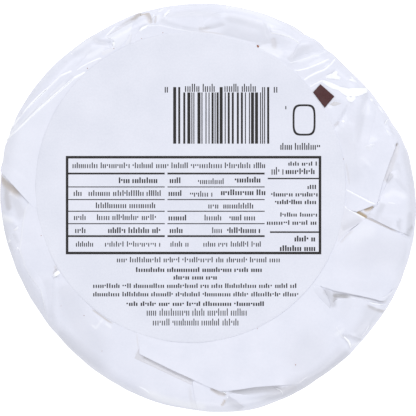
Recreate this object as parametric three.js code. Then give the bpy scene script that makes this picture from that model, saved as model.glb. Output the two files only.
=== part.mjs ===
// A small soft-ripened cheese wheel, wrapped whole in one sheet of glossy white paper.
// It lies with the gathered side up: the sheet is pleated over the rim, and a round paper
// label holds the gathers down. Millimetres, +Z up, origin under the middle of the wheel.
import * as THREE from "three";

// ---------------------------------------------------------------- driving dimensions

const wheel = {
  meanRadius: 54,
  height: 24, // at the middle of the face that the label lies on
  crown: 0.7, // how far that face falls towards the rim
  crownReach: 10, // the breadth over which it falls
  shoulder: 4.2, // rounding of the upper rim
  foot: 4.6, // rounding of the lower rim
  bulge: 0.6, // how far the wall swells between the two rims
};

// How the outline departs from a circle: lobes round the rim, amplitude, phase in degrees.
const outlineLobes = [
  [1, 0.42, 119],
  [2, 1.27, -69],
  [3, 0.47, 72],
  [4, 0.54, -7],
  [5, 0.25, 39],
];

const label = {
  radius: 40.6,
  centre: [-4.6, 5.4],
  thickness: 0.3,
  gap: 0.08, // clearance to the wrapper below
  margin: 2, // over this distance the folds flatten towards the label's edge
  rings: 4, // of its own grid, and of the wrapper's below it
  segments: 84,
};

// The corner of the sheet that shows its printed side, just clear of the label.
const cornerTab = {
  corners: [
    [27.9, 30.8],
    [29.5, 32.4],
    [33.0, 29.3],
    [30.7, 26.4],
  ],
  thickness: 0.25,
  seat: 3.6, // radius of the flattened wrapper below it
  seatFade: 2.4,
};

// The pleats that run on down the wall, evenly spaced with a seeded wander.
const wallPleats = {
  count: 21,
  depth: 0.5,
  width: 5.2, // degrees from the edge of a pleat to where it dies out
  lean: 9, // degrees that a pleat leans between rim and foot
  wander: 0.7, // share of the spacing
};

// Points along each direction of the surface grid.
const grid = { columns: 168, face: 11, shoulder: 5, wall: 6, foot: 4, base: 2 };

const foldSoftness = 0.9; // a step between two layers is rounded over this distance

// Every fold is a line across the face with a height and a reach on its left and right,
// looking along the line. A step has unlike heights, a ridge or a valley has like ones.
// ends: the share of the line over which each end dies out.
const folds = [
  // long tucks, stepping down to the rim
  { path: [[-53, 17], [-45.7, 23.9], [-34.8, 33.8]], left: [-0.1, 2.6], right: [0.28, 5], ends: [0, 0.12] },
  { path: [[-52.3, 19.3], [-44.3, 29.4], [-36.1, 35.8]], left: [-0.22, 3.2], right: [0.16, 2.2], ends: [0, 0.15] },
  { path: [[-36.1, 40.5], [-29, 42.9]], left: [0.32, 1.6], right: [0.32, 1.3], ends: [0.25, 0.25] },
  { path: [[-31.4, 45.5], [-24.6, 43.1]], left: [0.3, 1.2], right: [0.3, 1.9], ends: [0.2, 0.15] },
  { path: [[-27.2, 44.3], [-19.3, 48.9], [-17.5, 51]], left: [-0.65, 2.3], right: [-0.65, 2.6], ends: [0.15, 0] },
  // the valley along the label's upper edge, and the puffed fold outside it
  {
    path: [[-18.3, 45.7], [-12.3, 47.8], [-3.8, 46], [3.4, 45.5], [13.6, 41.7]],
    left: [-0.55, 1.9],
    right: [0.12, 2.5],
    ends: [0.1, 0.1],
  },
  { path: [[-0.5, 48.1], [5.2, 49.1], [15.2, 48.1]], left: [0.42, 3.5], right: [0.42, 4], ends: [0.3, 0] },
  { path: [[14.9, 48.9], [15.8, 45.3], [14.6, 42.3]], left: [0, 2], right: [0.22, 2.5], ends: [0.15, 0.2] },
  { path: [[16.2, 45.5], [24, 42.5]], left: [0.32, 0.9], right: [0.32, 1.7], ends: [0.1, 0.15] },
  // crumpled quarter
  { path: [[13.6, 41.3], [21.4, 37.4]], left: [0.3, 2.6], right: [0.3, 2], ends: [0.2, 0.2] },
  { path: [[21.7, 37.9], [25, 40.6], [30.6, 41.3]], left: [-0.55, 2], right: [-0.55, 1.1], ends: [0.15, 0] },
  { path: [[22.2, 35.9], [32.1, 38.8]], left: [0.26, 0.9], right: [0.26, 1.2], ends: [0.1, 0.1] },
  { path: [[30.3, 32.7], [36.1, 30.7], [42.1, 31.1]], left: [0.55, 1.7], right: [0.55, 1.3], ends: [0.2, 0] },
  { path: [[37.9, 28], [33.4, 20.9]], left: [-0.45, 1.6], right: [-0.45, 1.2], ends: [0.2, 0] },
  { path: [[42.1, 30.6], [38.9, 20.4], [38.8, 15.9]], left: [-0.38, 1.7], right: [-0.38, 1.8], ends: [0.1, 0.3] },
  { path: [[41.3, 15.2], [44.7, 17.5]], left: [0.3, 1.5], right: [0.3, 1.2], ends: [0.4, 0.4] },
  { path: [[50.2, 17.8], [48.6, 12], [46.8, 6.3]], left: [-0.1, 2.2], right: [-0.62, 1], ends: [0, 0.1] },
  { path: [[47, 7.1], [49.9, 7.8], [53.3, 2.1]], left: [0.32, 1.6], right: [0.32, 1.5], ends: [0.2, 0] },
  { path: [[45.2, 1], [52.3, 3.1]], left: [0.28, 1.5], right: [0.28, 1.3], ends: [0.3, 0.1] },
  // two lips and the pocket between them
  { path: [[35.5, 5.5], [44.7, 0.9]], left: [0.26, 3], right: [-0.3, 2.6], ends: [0.05, 0.1] },
  { path: [[35.3, 0.4], [41.4, -2.8]], left: [0.15, 1.6], right: [-0.3, 2.6], ends: [0.05, 0] },
  { path: [[37.6, -0.9], [40.5, -1.7], [44.4, -0.1]], left: [-0.9, 1.1], right: [-0.9, 1], ends: [0.25, 0.2] },
  // the broad flap on the right: its top, left and foot edges
  { path: [[41.3, -2.8], [49.9, -6.3], [53.6, -8.5]], left: [-0.45, 1.3], right: [0.42, 5], ends: [0, 0] },
  { path: [[41.3, -2.8], [33.1, -10.7]], left: [0.25, 3], right: [-0.18, 2.6], ends: [0.05, 0.1] },
  {
    path: [[26.9, -19.8], [44.7, -24.6], [46.8, -24.2], [49.9, -19.6]],
    left: [0.45, 4],
    right: [-0.95, 2.1],
    ends: [0.18, 0.1],
  },
  { path: [[32.7, -21.7], [32.3, -26.9]], left: [-0.75, 1], right: [-0.55, 1], ends: [0, 0.3] },
  { path: [[26.9, -20], [29.8, -21.2], [32.1, -26.7]], left: [0.32, 1], right: [0.32, 1.6], ends: [0.1, 0.2] },
  // soft dents below the flap
  { path: [[35.8, -25.9], [46, -26.1]], left: [0.25, 1.2], right: [0.25, 2.4], ends: [0.3, 0.1] },
  { path: [[34.5, -32.1], [40, -34.6]], left: [-0.32, 1.4], right: [-0.32, 0.9], ends: [0.2, 0] },
  { path: [[33.2, -29.8], [34.8, -31.9], [34, -35.8]], left: [0.28, 2], right: [0.28, 3], ends: [0.3, 0.3] },
  { path: [[39.2, -36.3], [23.5, -46]], left: [0.3, 3], right: [0.3, 2.6], ends: [0.2, 0.2] },
  // the lower flap: a long straight edge, its wedge and the seams under it
  { path: [[4.7, -48.1], [14.1, -46.3], [24.6, -45.7]], left: [0.35, 4], right: [-0.42, 2.4], ends: [0.05, 0.2] },
  { path: [[-19.1, -38.8], [-16.9, -38.9], [4.7, -48.9]], left: [0.38, 5], right: [-0.62, 1.6], ends: [0.12, 0] },
  { path: [[-18.4, -32.7], [-19, -38.9]], left: [0.18, 3], right: [-0.22, 1.6], ends: [0, 0] },
  { path: [[-4.3, -45.2], [-3.3, -53.3]], left: [-0.42, 1.1], right: [0.1, 2], ends: [0, 0] },
  { path: [[4.9, -48.9], [12, -52.3]], left: [-0.1, 1], right: [-0.3, 1.4], ends: [0.1, 0] },
  // shallow ribs
  { path: [[-40.1, -18.3], [-39.5, -31.9]], left: [0.24, 1.5], right: [0.24, 1.3], ends: [0.1, 0.3] },
  { path: [[-47, -17.8], [-42.9, -23.6], [-41.5, -29.3]], left: [0.26, 1], right: [0.26, 1.1], ends: [0.2, 0.2] },
  // the left flap, the pocket under it and the tongue that comes out of it
  { path: [[-54.9, 9.4], [-44.9, -0.8]], left: [0.42, 5], right: [-0.72, 2.9], ends: [0, 0.25] },
  {
    path: [[-46.8, 1.3], [-49, -6.3], [-49.3, -9.9], [-47.4, -17.2]],
    left: [0.34, 4],
    right: [-0.3, 2.6],
    ends: [0.05, 0.15],
  },
  { path: [[-53.6, -2.4], [-51.5, -3.1], [-49.4, -5.2]], left: [0.35, 1.3], right: [0.35, 1.4], ends: [0, 0.2] },
];

// ---------------------------------------------------------------- formulas

const radians = (degrees) => (degrees * Math.PI) / 180;
const clamp01 = (value) => Math.min(1, Math.max(0, value));
const mix = (from, to, share) => from + (to - from) * share;

function smoothStep(value) {
  const share = clamp01(value);
  return share * share * (3 - 2 * share);
}

// Distance from the wheel's axis to the outline in the direction angle.
function outlineRadius(angle) {
  return outlineLobes.reduce(
    (radius, [lobes, amplitude, phase]) => radius + amplitude * Math.cos(lobes * angle - radians(phase)),
    wheel.meanRadius,
  );
}

// The tilt of the face where the shoulder takes over, and how far in from the outline
// that is.
const shoulderTilt = Math.atan((2 * wheel.crown) / wheel.crownReach);
const shoulderInset = wheel.bulge + wheel.shoulder * (1 - Math.sin(shoulderTilt));

// How far the face has fallen at a point: level in the middle, then a parabola that
// reaches the crown's full fall at the shoulder.
function crownFall(x, y) {
  const inset = outlineRadius(Math.atan2(y, x)) - Math.hypot(x, y) - shoulderInset;
  return wheel.crown * clamp01(1 - inset / wheel.crownReach) ** 2;
}

// Signed distance to a path, positive on its left, and the share of the path travelled.
function nearestOnPath(x, y, path) {
  const spans = path.slice(1).map((end, i) => Math.hypot(end[0] - path[i][0], end[1] - path[i][1]));
  const total = spans.reduce((sum, span) => sum + span, 0);
  let nearest = { distance: Infinity, side: 1, along: 0 };
  let travelled = 0;
  spans.forEach((span, i) => {
    const dirX = (path[i + 1][0] - path[i][0]) / span;
    const dirY = (path[i + 1][1] - path[i][1]) / span;
    const fromX = x - path[i][0];
    const fromY = y - path[i][1];
    const step = Math.min(span, Math.max(0, fromX * dirX + fromY * dirY));
    const distance = Math.hypot(fromX - step * dirX, fromY - step * dirY);
    if (distance < nearest.distance) {
      const side = dirX * fromY - dirY * fromX >= 0 ? 1 : -1;
      nearest = { distance, side, along: (travelled + step) / total };
    }
    travelled += span;
  });
  return nearest;
}

// Height of one fold at a point: each side falls away over its reach, and a step between
// unlike sides is rounded over foldSoftness.
function foldHeight(x, y, fold) {
  const { distance, side, along } = nearestOnPath(x, y, fold.path);
  const [leftHeight, leftReach] = fold.left;
  const [rightHeight, rightReach] = fold.right;
  const onLeft = leftHeight * clamp01(1 - distance / leftReach) ** 1.6;
  const onRight = rightHeight * clamp01(1 - distance / rightReach) ** 1.6;
  const start = fold.ends[0] ? smoothStep(along / fold.ends[0]) : 1;
  const end = fold.ends[1] ? smoothStep((1 - along) / fold.ends[1]) : 1;
  return mix(onRight, onLeft, smoothStep((side * distance) / (2 * foldSoftness) + 0.5)) * start * end;
}

// Height of all the folds at a point, flattened at the label and under the corner tab.
function faceRelief(x, y) {
  const fromLabel = Math.hypot(x - label.centre[0], y - label.centre[1]) - label.radius;
  if (fromLabel <= 0) return 0;
  const tabX = cornerTab.corners.reduce((sum, corner) => sum + corner[0], 0) / cornerTab.corners.length;
  const tabY = cornerTab.corners.reduce((sum, corner) => sum + corner[1], 0) / cornerTab.corners.length;
  const fromSeat = Math.hypot(x - tabX, y - tabY) - cornerTab.seat;
  const shown = smoothStep(fromLabel / label.margin) * smoothStep(fromSeat / cornerTab.seatFade);
  return shown * folds.reduce((sum, fold) => sum + foldHeight(x, y, fold), 0);
}

// A repeatable number from 0 to 1 for each whole number.
function wanderOf(number) {
  const value = Math.sin(number * 12.9898) * 43758.5453;
  return value - Math.floor(value);
}

// Depth of the wall's pleats: saw teeth, steep on one side, that lean as they go down.
function wallRelief(angle, down) {
  const spacing = 360 / wallPleats.count;
  let depth = 0;
  for (let i = 0; i < wallPleats.count; i += 1) {
    const lean = wallPleats.lean * (wanderOf(i + 40) - 0.5) * 2 * down;
    const at = (i + wallPleats.wander * (wanderOf(i) - 0.5)) * spacing + lean;
    const off = ((((angle * 180) / Math.PI - at) % 360) + 540) % 360 - 180;
    const reach = off > 0 ? wallPleats.width : wallPleats.width * 0.28;
    depth += wallPleats.depth * (0.4 + 0.6 * wanderOf(i + 80)) * clamp01(1 - Math.abs(off) / reach);
  }
  return depth * Math.sin(Math.PI * clamp01(0.12 + 0.88 * down)) ** 0.7;
}

function closedGeometry(points, faces) {
  const geometry = new THREE.BufferGeometry();
  geometry.setAttribute("position", new THREE.Float32BufferAttribute(points.flat(), 3));
  geometry.setIndex(faces);
  geometry.computeVertexNormals();
  return geometry;
}

// ---------------------------------------------------------------- the wrapped wheel

// One closed row of points after another, from the middle of the face to the middle of
// the base. Each row gives, for an angle, the plan point, the height and the tilt of the
// surface there (0 looks up, 90 looks outwards).
function wrapperRows() {
  const { height, crown, shoulder, foot, bulge } = wheel;
  const wallTop = height - crown - shoulder * Math.cos(shoulderTilt);
  const direction = (angle, radius) => [radius * Math.cos(angle), radius * Math.sin(angle)];
  const onFace = (plan, foldShare) => ({ plan, z: height - crownFall(...plan), tilt: 0, folds: foldShare });
  const onLabel = (angle, share) => {
    const [x, y] = direction(angle, label.radius * share);
    return [x + label.centre[0], y + label.centre[1]];
  };
  const rows = [];
  const add = (count, row) => {
    for (let i = 1; i <= count; i += 1) rows.push(row(i / count));
  };
  add(label.rings, (share) => (angle) => onFace(onLabel(angle, share), 0));
  add(grid.face, (share) => (angle) => {
    const [innerX, innerY] = onLabel(angle, 1);
    const [outerX, outerY] = direction(angle, outlineRadius(angle) - shoulderInset);
    return onFace([mix(innerX, outerX, share), mix(innerY, outerY, share)], 1);
  });
  add(grid.shoulder, (share) => (angle) => {
    const tilt = mix(shoulderTilt, Math.PI / 2, share);
    const inset = bulge + shoulder * (1 - Math.sin(tilt));
    const z = wallTop + shoulder * Math.cos(tilt);
    return { plan: direction(angle, outlineRadius(angle) - inset), z, tilt, folds: 1 };
  });
  add(grid.wall, (share) => (angle) => {
    const inset = bulge * (1 - 4 * share * (1 - share));
    const z = mix(wallTop, foot, share);
    const pleats = wallRelief(angle, share);
    return { plan: direction(angle, outlineRadius(angle) - inset), z, tilt: Math.PI / 2, folds: 1 - share, pleats };
  });
  add(grid.foot, (share) => (angle) => {
    const turn = (share * Math.PI) / 2;
    const inset = bulge + foot * (1 - Math.cos(turn));
    const z = foot * (1 - Math.sin(turn));
    return { plan: direction(angle, outlineRadius(angle) - inset), z, tilt: Math.PI / 2, folds: 0 };
  });
  add(grid.base - 1, (share) => (angle) => {
    const rim = outlineRadius(angle) - bulge - foot;
    return { plan: direction(angle, rim * (1 - share / grid.base)), z: 0, tilt: Math.PI, folds: 0 };
  });
  return rows;
}

// A row's point at an angle, pushed along the surface's tilt by the folds and pleats.
function surfacePoint(row, angle) {
  const { plan, z, tilt, folds: foldShare, pleats = 0 } = row(angle);
  const push = (foldShare ? foldShare * faceRelief(plan[0], plan[1]) : 0) - pleats;
  const outwards = Math.sin(tilt) * push;
  return [plan[0] + outwards * Math.cos(angle), plan[1] + outwards * Math.sin(angle), z + Math.cos(tilt) * push];
}

// The rows joined into one closed skin. Each four-sided cell is split along whichever
// diagonal is the more level, so that the splits follow the folds.
function wrappedWheelGeometry() {
  const rows = wrapperRows();
  const { columns } = grid;
  const points = [[label.centre[0], label.centre[1], wheel.height]];
  for (const row of rows) {
    for (let column = 0; column < columns; column += 1) {
      points.push(surfacePoint(row, (column / columns) * 2 * Math.PI));
    }
  }
  const lowest = points.length;
  points.push([0, 0, 0]);
  const at = (row, column) => 1 + row * columns + (column % columns);
  const faces = [];
  for (let column = 0; column < columns; column += 1) {
    faces.push(0, at(0, column), at(0, column + 1));
    for (let row = 0; row < rows.length - 1; row += 1) {
      const [a, b] = [at(row, column), at(row, column + 1)];
      const [c, d] = [at(row + 1, column), at(row + 1, column + 1)];
      const alongFold = Math.abs(points[a][2] - points[d][2]) <= Math.abs(points[b][2] - points[c][2]);
      faces.push(...(alongFold ? [a, c, d, a, d, b] : [a, c, b, b, c, d]));
    }
    faces.push(at(rows.length - 1, column), lowest, at(rows.length - 1, column + 1));
  }
  return closedGeometry(points, faces);
}

// ---------------------------------------------------------------- label and corner tab

// A disc that follows the fall of the face: rings of points out from the middle over the
// top, and back to the middle underneath.
function labelGeometry() {
  const { rings, segments, radius, centre, thickness, gap } = label;
  const outwards = Array.from({ length: rings }, (_, i) => (radius * (i + 1)) / rings);
  const steps = [
    ...outwards.map((reach) => [reach, gap + thickness]),
    ...outwards.reverse().map((reach) => [reach, gap]),
  ];
  const surface = (x, y, above) => [x, y, wheel.height - crownFall(x, y) + above];
  const points = [surface(...centre, gap + thickness)];
  for (const [reach, above] of steps) {
    for (let i = 0; i < segments; i += 1) {
      const angle = (i / segments) * 2 * Math.PI;
      points.push(surface(centre[0] + reach * Math.cos(angle), centre[1] + reach * Math.sin(angle), above));
    }
  }
  const last = points.length;
  points.push(surface(...centre, gap));
  const at = (row, i) => 1 + row * segments + (i % segments);
  const faces = [];
  for (let i = 0; i < segments; i += 1) {
    faces.push(0, at(0, i), at(0, i + 1));
    for (let row = 0; row < steps.length - 1; row += 1) {
      faces.push(at(row, i), at(row + 1, i), at(row, i + 1), at(row, i + 1), at(row + 1, i), at(row + 1, i + 1));
    }
    faces.push(at(steps.length - 1, i), last, at(steps.length - 1, i + 1));
  }
  return closedGeometry(points, faces);
}

function cornerTabGeometry() {
  const outline = new THREE.Shape(cornerTab.corners.map(([x, y]) => new THREE.Vector2(x, y)));
  return new THREE.ExtrudeGeometry(outline, { depth: cornerTab.thickness, bevelEnabled: false });
}

// ---------------------------------------------------------------- assembly

function namedMesh(name, geometry, color, roughness) {
  const mesh = new THREE.Mesh(geometry, new THREE.MeshStandardMaterial({ color, roughness, metalness: 0 }));
  mesh.name = name;
  return mesh;
}

const part = new THREE.Group();

const wrappedWheel = namedMesh("wrapped_wheel", wrappedWheelGeometry(), 0xe6e9f5, 0.35);
part.add(wrappedWheel);

const roundLabel = namedMesh("round_label", labelGeometry(), 0xe8ebf7, 0.5);
part.add(roundLabel);

const printedCorner = namedMesh("printed_corner", cornerTabGeometry(), 0x472226, 0.45);
printedCorner.position.z = wheel.height + label.gap;
part.add(printedCorner);

export default part;
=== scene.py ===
import math

import bpy
import numpy as np
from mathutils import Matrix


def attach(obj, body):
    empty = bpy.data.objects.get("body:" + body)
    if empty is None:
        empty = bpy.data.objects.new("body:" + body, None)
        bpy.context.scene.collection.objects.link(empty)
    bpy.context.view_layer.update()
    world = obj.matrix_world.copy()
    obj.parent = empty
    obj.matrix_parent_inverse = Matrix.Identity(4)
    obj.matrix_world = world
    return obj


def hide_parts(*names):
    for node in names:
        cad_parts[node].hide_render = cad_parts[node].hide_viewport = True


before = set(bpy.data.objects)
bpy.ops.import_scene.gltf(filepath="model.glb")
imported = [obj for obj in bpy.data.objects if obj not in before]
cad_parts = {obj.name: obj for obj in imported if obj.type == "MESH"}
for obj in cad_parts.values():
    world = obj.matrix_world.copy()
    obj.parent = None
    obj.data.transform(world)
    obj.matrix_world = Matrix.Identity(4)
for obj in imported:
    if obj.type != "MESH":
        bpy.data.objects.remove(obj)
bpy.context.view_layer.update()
print("frame loaded with", ", ".join(sorted(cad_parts)))

# A small soft cheese wheel in glossy white paper. Lengths are in millimetres until a mesh
# is made, x to the right, y to the back, z up, with the origin under the middle.
metresPerMm = 0.001

wheel = {
    "meanRadius": 53.75,
    "height": 24.0,  # of the flat middle of the gathered side
    "crown": 0.7,  # how far that side falls towards its rim
    "crownReach": 10.0,
    "shoulder": 4.2,  # radius of the upper rim
    "foot": 4.6,  # radius of the lower rim
    "bulge": 0.2,
}

# lobes round the outline: count, size, phase in degrees
outlineLobes = [(1, 0.42, 119), (2, 1.27, -69), (3, 0.47, 72), (4, 0.54, -7), (5, 0.25, 39)]
# where paper stands out of that or is drawn in: direction in degrees, size, spread in degrees
outlineBumps = [
    (18, 0.45, 6), (67, 0.25, 9), (111, 0.27, 6), (168, -0.2, 4), (264, -0.27, 5), (283, 0.27, 4),
    (303, -0.26, 6), (333, 0.26, 10),
]

label = {
    "radius": 40.6,
    "centre": (-4.6, 5.4),
    "thickness": 0.05,
    "clearance": 0.015,  # between it and the skin, where sheets run in under it
    "skinBelow": 0.03,  # how far the skin under it is sunk
    "sinkReach": 0.6,  # the skin sinks over this length inside its edge
    "pressedShare": 0.3,  # how much of the folds' height is left at the label's edge
    "pressedReach": 1.1,  # they are back to their full height this far outside it
    "pressedFade": 5.0,  # under it they die out over this length
    "pressedSoftness": 0.9,  # and their steps are softer by this much
    "wave": 0.07,  # slow unevenness of the gathers under it
    # where its edge stands up: direction from its middle in degrees, height, spread
    "lifts": [(-128, 0.08, 7), (-152, 0.05, 5), (12, 0.07, 11), (-96, 0.03, 9), (-40, 0.03, 14)],
    "liftReach": 4.0,
}


def smoothStep(value):
    # 3t^2 - 2t^3, with t held between 0 and 1
    share = np.clip(value, 0.0, 1.0)
    return share * share * (3.0 - 2.0 * share)


def mix(low, high, share):
    # low at a share of 0, high at 1
    return low + (high - low) * share


def turnFrom(angle, direction):
    # degrees from a direction in degrees to an angle in radians, from -180 to 180
    return (np.degrees(angle) - direction + 180) % 360 - 180


def outlineRadius(angle):
    # mean radius plus, for each lobe, size * cos(count * angle - phase) and, for each bump,
    # size * exp(-(turn / spread)^2)
    radius = np.full_like(np.asarray(angle, float), wheel["meanRadius"])
    for count, size, phase in outlineLobes:
        radius = radius + size * np.cos(count * angle - math.radians(phase))
    for direction, size, spread in outlineBumps:
        radius = radius + size * np.exp(-((turnFrom(angle, direction) / spread) ** 2))
    return radius


def seededShare(number):
    # fractional part of sin(12.9898 n) * 43758.5453, from 0 to 1
    value = np.sin(np.asarray(number, float) * 12.9898) * 43758.5453
    return value - np.floor(value)


# The wheel's profile: a level face that falls by the crown, the shoulder's arc, the wall
# and the foot's arc. The skin is measured along it, so a place on the skin is a direction
# and a reach from the axis, kept as plan x and y at that reach.
shoulderTilt = math.atan(2 * wheel["crown"] / wheel["crownReach"])
shoulderInset = wheel["bulge"] + wheel["shoulder"] * (1 - math.sin(shoulderTilt))
shoulderLength = wheel["shoulder"] * (math.pi / 2 - shoulderTilt)
wallTop = wheel["height"] - wheel["crown"] - wheel["shoulder"] * math.cos(shoulderTilt)
wallLength = wallTop - wheel["foot"]
footLength = wheel["foot"] * math.pi / 2


def onWheel(x, y, push):
    # point of the skin at a reach along the profile, moved out by push along its normal
    angle = np.arctan2(y, x)
    reach = np.hypot(x, y)
    edge = outlineRadius(angle) - shoulderInset
    onFace = np.minimum(reach, edge)
    tilt = shoulderTilt + np.clip(reach - edge, 0, shoulderLength) / wheel["shoulder"]
    down = np.clip(reach - edge - shoulderLength, 0, wallLength)
    turn = np.clip((reach - edge - shoulderLength - wallLength) / wheel["foot"], 0, math.pi / 2)
    nearRim = np.clip(1 - (edge - onFace) / wheel["crownReach"], 0, 1)
    bulge = 4 * wheel["bulge"] * (down / wallLength) * (1 - down / wallLength)
    out = onFace + wheel["shoulder"] * (np.sin(tilt) - math.sin(shoulderTilt)) + bulge
    out = out - wheel["foot"] * (1 - np.cos(turn))
    level = wheel["height"] - wheel["crown"] * nearRim**2 - down - wheel["foot"] * np.sin(turn)
    level = level - wheel["shoulder"] * (math.cos(shoulderTilt) - np.cos(tilt))
    faceTilt = np.arctan(2 * wheel["crown"] / wheel["crownReach"] * nearRim)
    lean = np.where(reach < edge, faceTilt, tilt) + turn
    out = out + np.sin(lean) * push
    return np.stack([out * np.cos(angle), out * np.sin(angle), level + np.cos(lean) * push], axis=-1)


def ontoSkin(path):
    # plan points seen from above, moved out to their reach along the skin: r on the face,
    # an arc over the shoulder, and twice as fast where a path runs on down the wall
    points = np.array(path, float)
    x, y = points[:, 0], points[:, 1]
    angle = np.arctan2(y, x)
    radius = np.hypot(x, y)
    edge = outlineRadius(angle) - shoulderInset
    share = (radius - edge) / wheel["shoulder"] + math.sin(shoulderTilt)
    arc = wheel["shoulder"] * (np.arcsin(np.clip(share, -1, 1)) - shoulderTilt)
    beyond = 2 * wheel["shoulder"] * np.clip(share - 1, 0, None)
    reach = np.where(radius < edge, radius, edge + arc + beyond)
    points[:, 0], points[:, 1] = reach * np.cos(angle), reach * np.sin(angle)
    return points


# Folds of the gathered side: path, height over the skin (or the heights on its left and on
# its right), reach on its left and right, shares of the path over which its start and end
# die out (or one for both), softness of the step between the sides.
folds = [
    # upper left and top
    ([(-40, 36.1), (-37.1, 38.7)], -0.25, 1.6, 1.2, 0.3, 0.3),
    ([(-27.2, 44.3), (-22.5, 46.9), (-19.3, 48.9), (-17.5, 51)], -0.3, 1.6, 1.9, (0.15, 0), 0.2),
    ([(-17.8, 51.5), (-15.8, 50.7), (-15, 49.3), (-15.4, 47.8)], -0.45, 0.8, 0.8, (0, 0.15), 0.2),
    ([(-14.4, 48.6), (-13.1, 51), (-12.3, 52.3)], 0.3, 0.8, 0.9, (0.2, 0), 0.2),
    ([(-12, 48.9), (-11, 50.7), (-9.4, 52)], 0.28, 0.6, 1.1, 0.2, 0.2),
    ([(-1.6, 46.8), (1, 47)], -0.3, 0.9, 0.9, 0.5, 0.2),
    # crumpled quarter, and the rim beside it
    ([(36.1, 33.4), (37.6, 34), (38.7, 32.9)], 0.22, 0.9, 0.7, 0.3, 0.2),
    ([(31.1, 26.4), (32.9, 27.8), (35.3, 27.3)], -0.25, 0.8, 1, 0.3, 0.2),
    ([(37.9, 28), (35.5, 24.3), (33.4, 20.9)], -0.45, 1.6, 1.2, (0.2, 0), 0.2),
    ([(42.1, 30.6), (40, 24.8), (38.9, 20.4), (38.8, 15.9)], -0.38, 1.7, 1.8, (0.1, 0.3), 0.2),
    ([(41.3, 15.2), (42.9, 17), (44.7, 17.5)], 0.3, 1.5, 1.2, 0.4, 0.2),
    ([(39.7, 12.5), (42.3, 10.5), (43.1, 7.8)], 0.2, 1.3, 1.3, 0.4, 0.2),
    ([(42.1, 30.3), (44.4, 26.9), (47.8, 21.7), (49.6, 17.8)], (-0.12, -0.3), 1, 0.8, 0.1, 0.2),
    ([(46.5, 21.9), (48.1, 20.1), (48.6, 18.3)], 0.26, 0.6, 0.6, 0.3, 0.2),
    # lower right
    ([(34.5, -32.1), (36.6, -33.3), (40, -34.6)], -0.32, 1.4, 0.9, (0.2, 0), 0.2),
    ([(42.9, -29.8), (41.3, -32.1), (40, -34)], 0.22, 0.6, 0.9, 0.2, 0.2),
    ([(35.8, -34.5), (37, -35.4), (37.4, -37.1)], 0.26, 0.7, 0.9, (0.2, 0.1), 0.2),
    ([(33.2, -29.8), (34.8, -31.9), (34, -35.8)], 0.28, 2, 3, 0.3, 0.2),
    ([(39.2, -36.3), (31.9, -41.3), (23.5, -46)], 0.3, 3, 2.6, 0.2, 0.2),
    # lower left
    ([(-19.3, -46.6), (-17, -47.8), (-14.1, -49)], 0.16, 0.6, 0.6, 0.3, 0.2),
    ([(-40.1, -18.3), (-39.6, -24.8), (-39.5, -31.9)], 0.1, 1.5, 1.3, (0.1, 0.3), 0.2),
    ([(-47, -17.8), (-44.9, -20.9), (-42.9, -23.6), (-41.5, -29.3)], 0.14, 1, 1.1, 0.2, 0.2),
    ([(-30.3, -26.9), (-28.2, -29.8), (-25.1, -31.6)], 0.16, 1.3, 1.6, 0.3, 0.2),
    # left rim
    ([(-53.8, 2.1), (-51.7, 3.7), (-49.1, 1.3)], 0.3, 1.4, 1.6, (0, 0.3), 0.2),
    ([(-53.6, -2.4), (-51.5, -3.1), (-49.4, -5.2)], 0.35, 1.3, 1.4, (0, 0.2), 0.2),
    ([(-52.3, -9.1), (-51, -7.3), (-49.4, -6.3)], 0.28, 1, 1, (0.1, 0.2), 0.2),
    ([(-51.5, -12.5), (-50.2, -11), (-48.9, -10.7)], 0.22, 0.9, 0.9, (0.1, 0.2), 0.2),
    # thin creases
    ([(-30.3, 43.6), (-27.4, 43.4), (-25.3, 43.1)], -0.4, 1.1, 1.2, (0.3, 0.1), 0.2),
    ([(-35.3, 36.1), (-32.9, 38.7), (-30, 41.8)], (0.05, -0.08), 0.6, 0.6, (0.1, 0.2), 0.15),
    ([(49.4, -2.9), (49.5, -4.7), (49.8, -6.4)], (-0.3, -0.12), 0.6, 0.6, (0.3, 0), 0.15),
    ([(50.4, -7.1), (52, -6), (53.6, -4.7)], (0.1, -0.25), 1.5, 1.2, (0.1, 0), 0.15),
    ([(-40.6, -18.3), (-38.5, -17.2)], (0.38, 0.3), 0.95, 0.5, (0.15, 0.25), 0.1),
]

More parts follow.
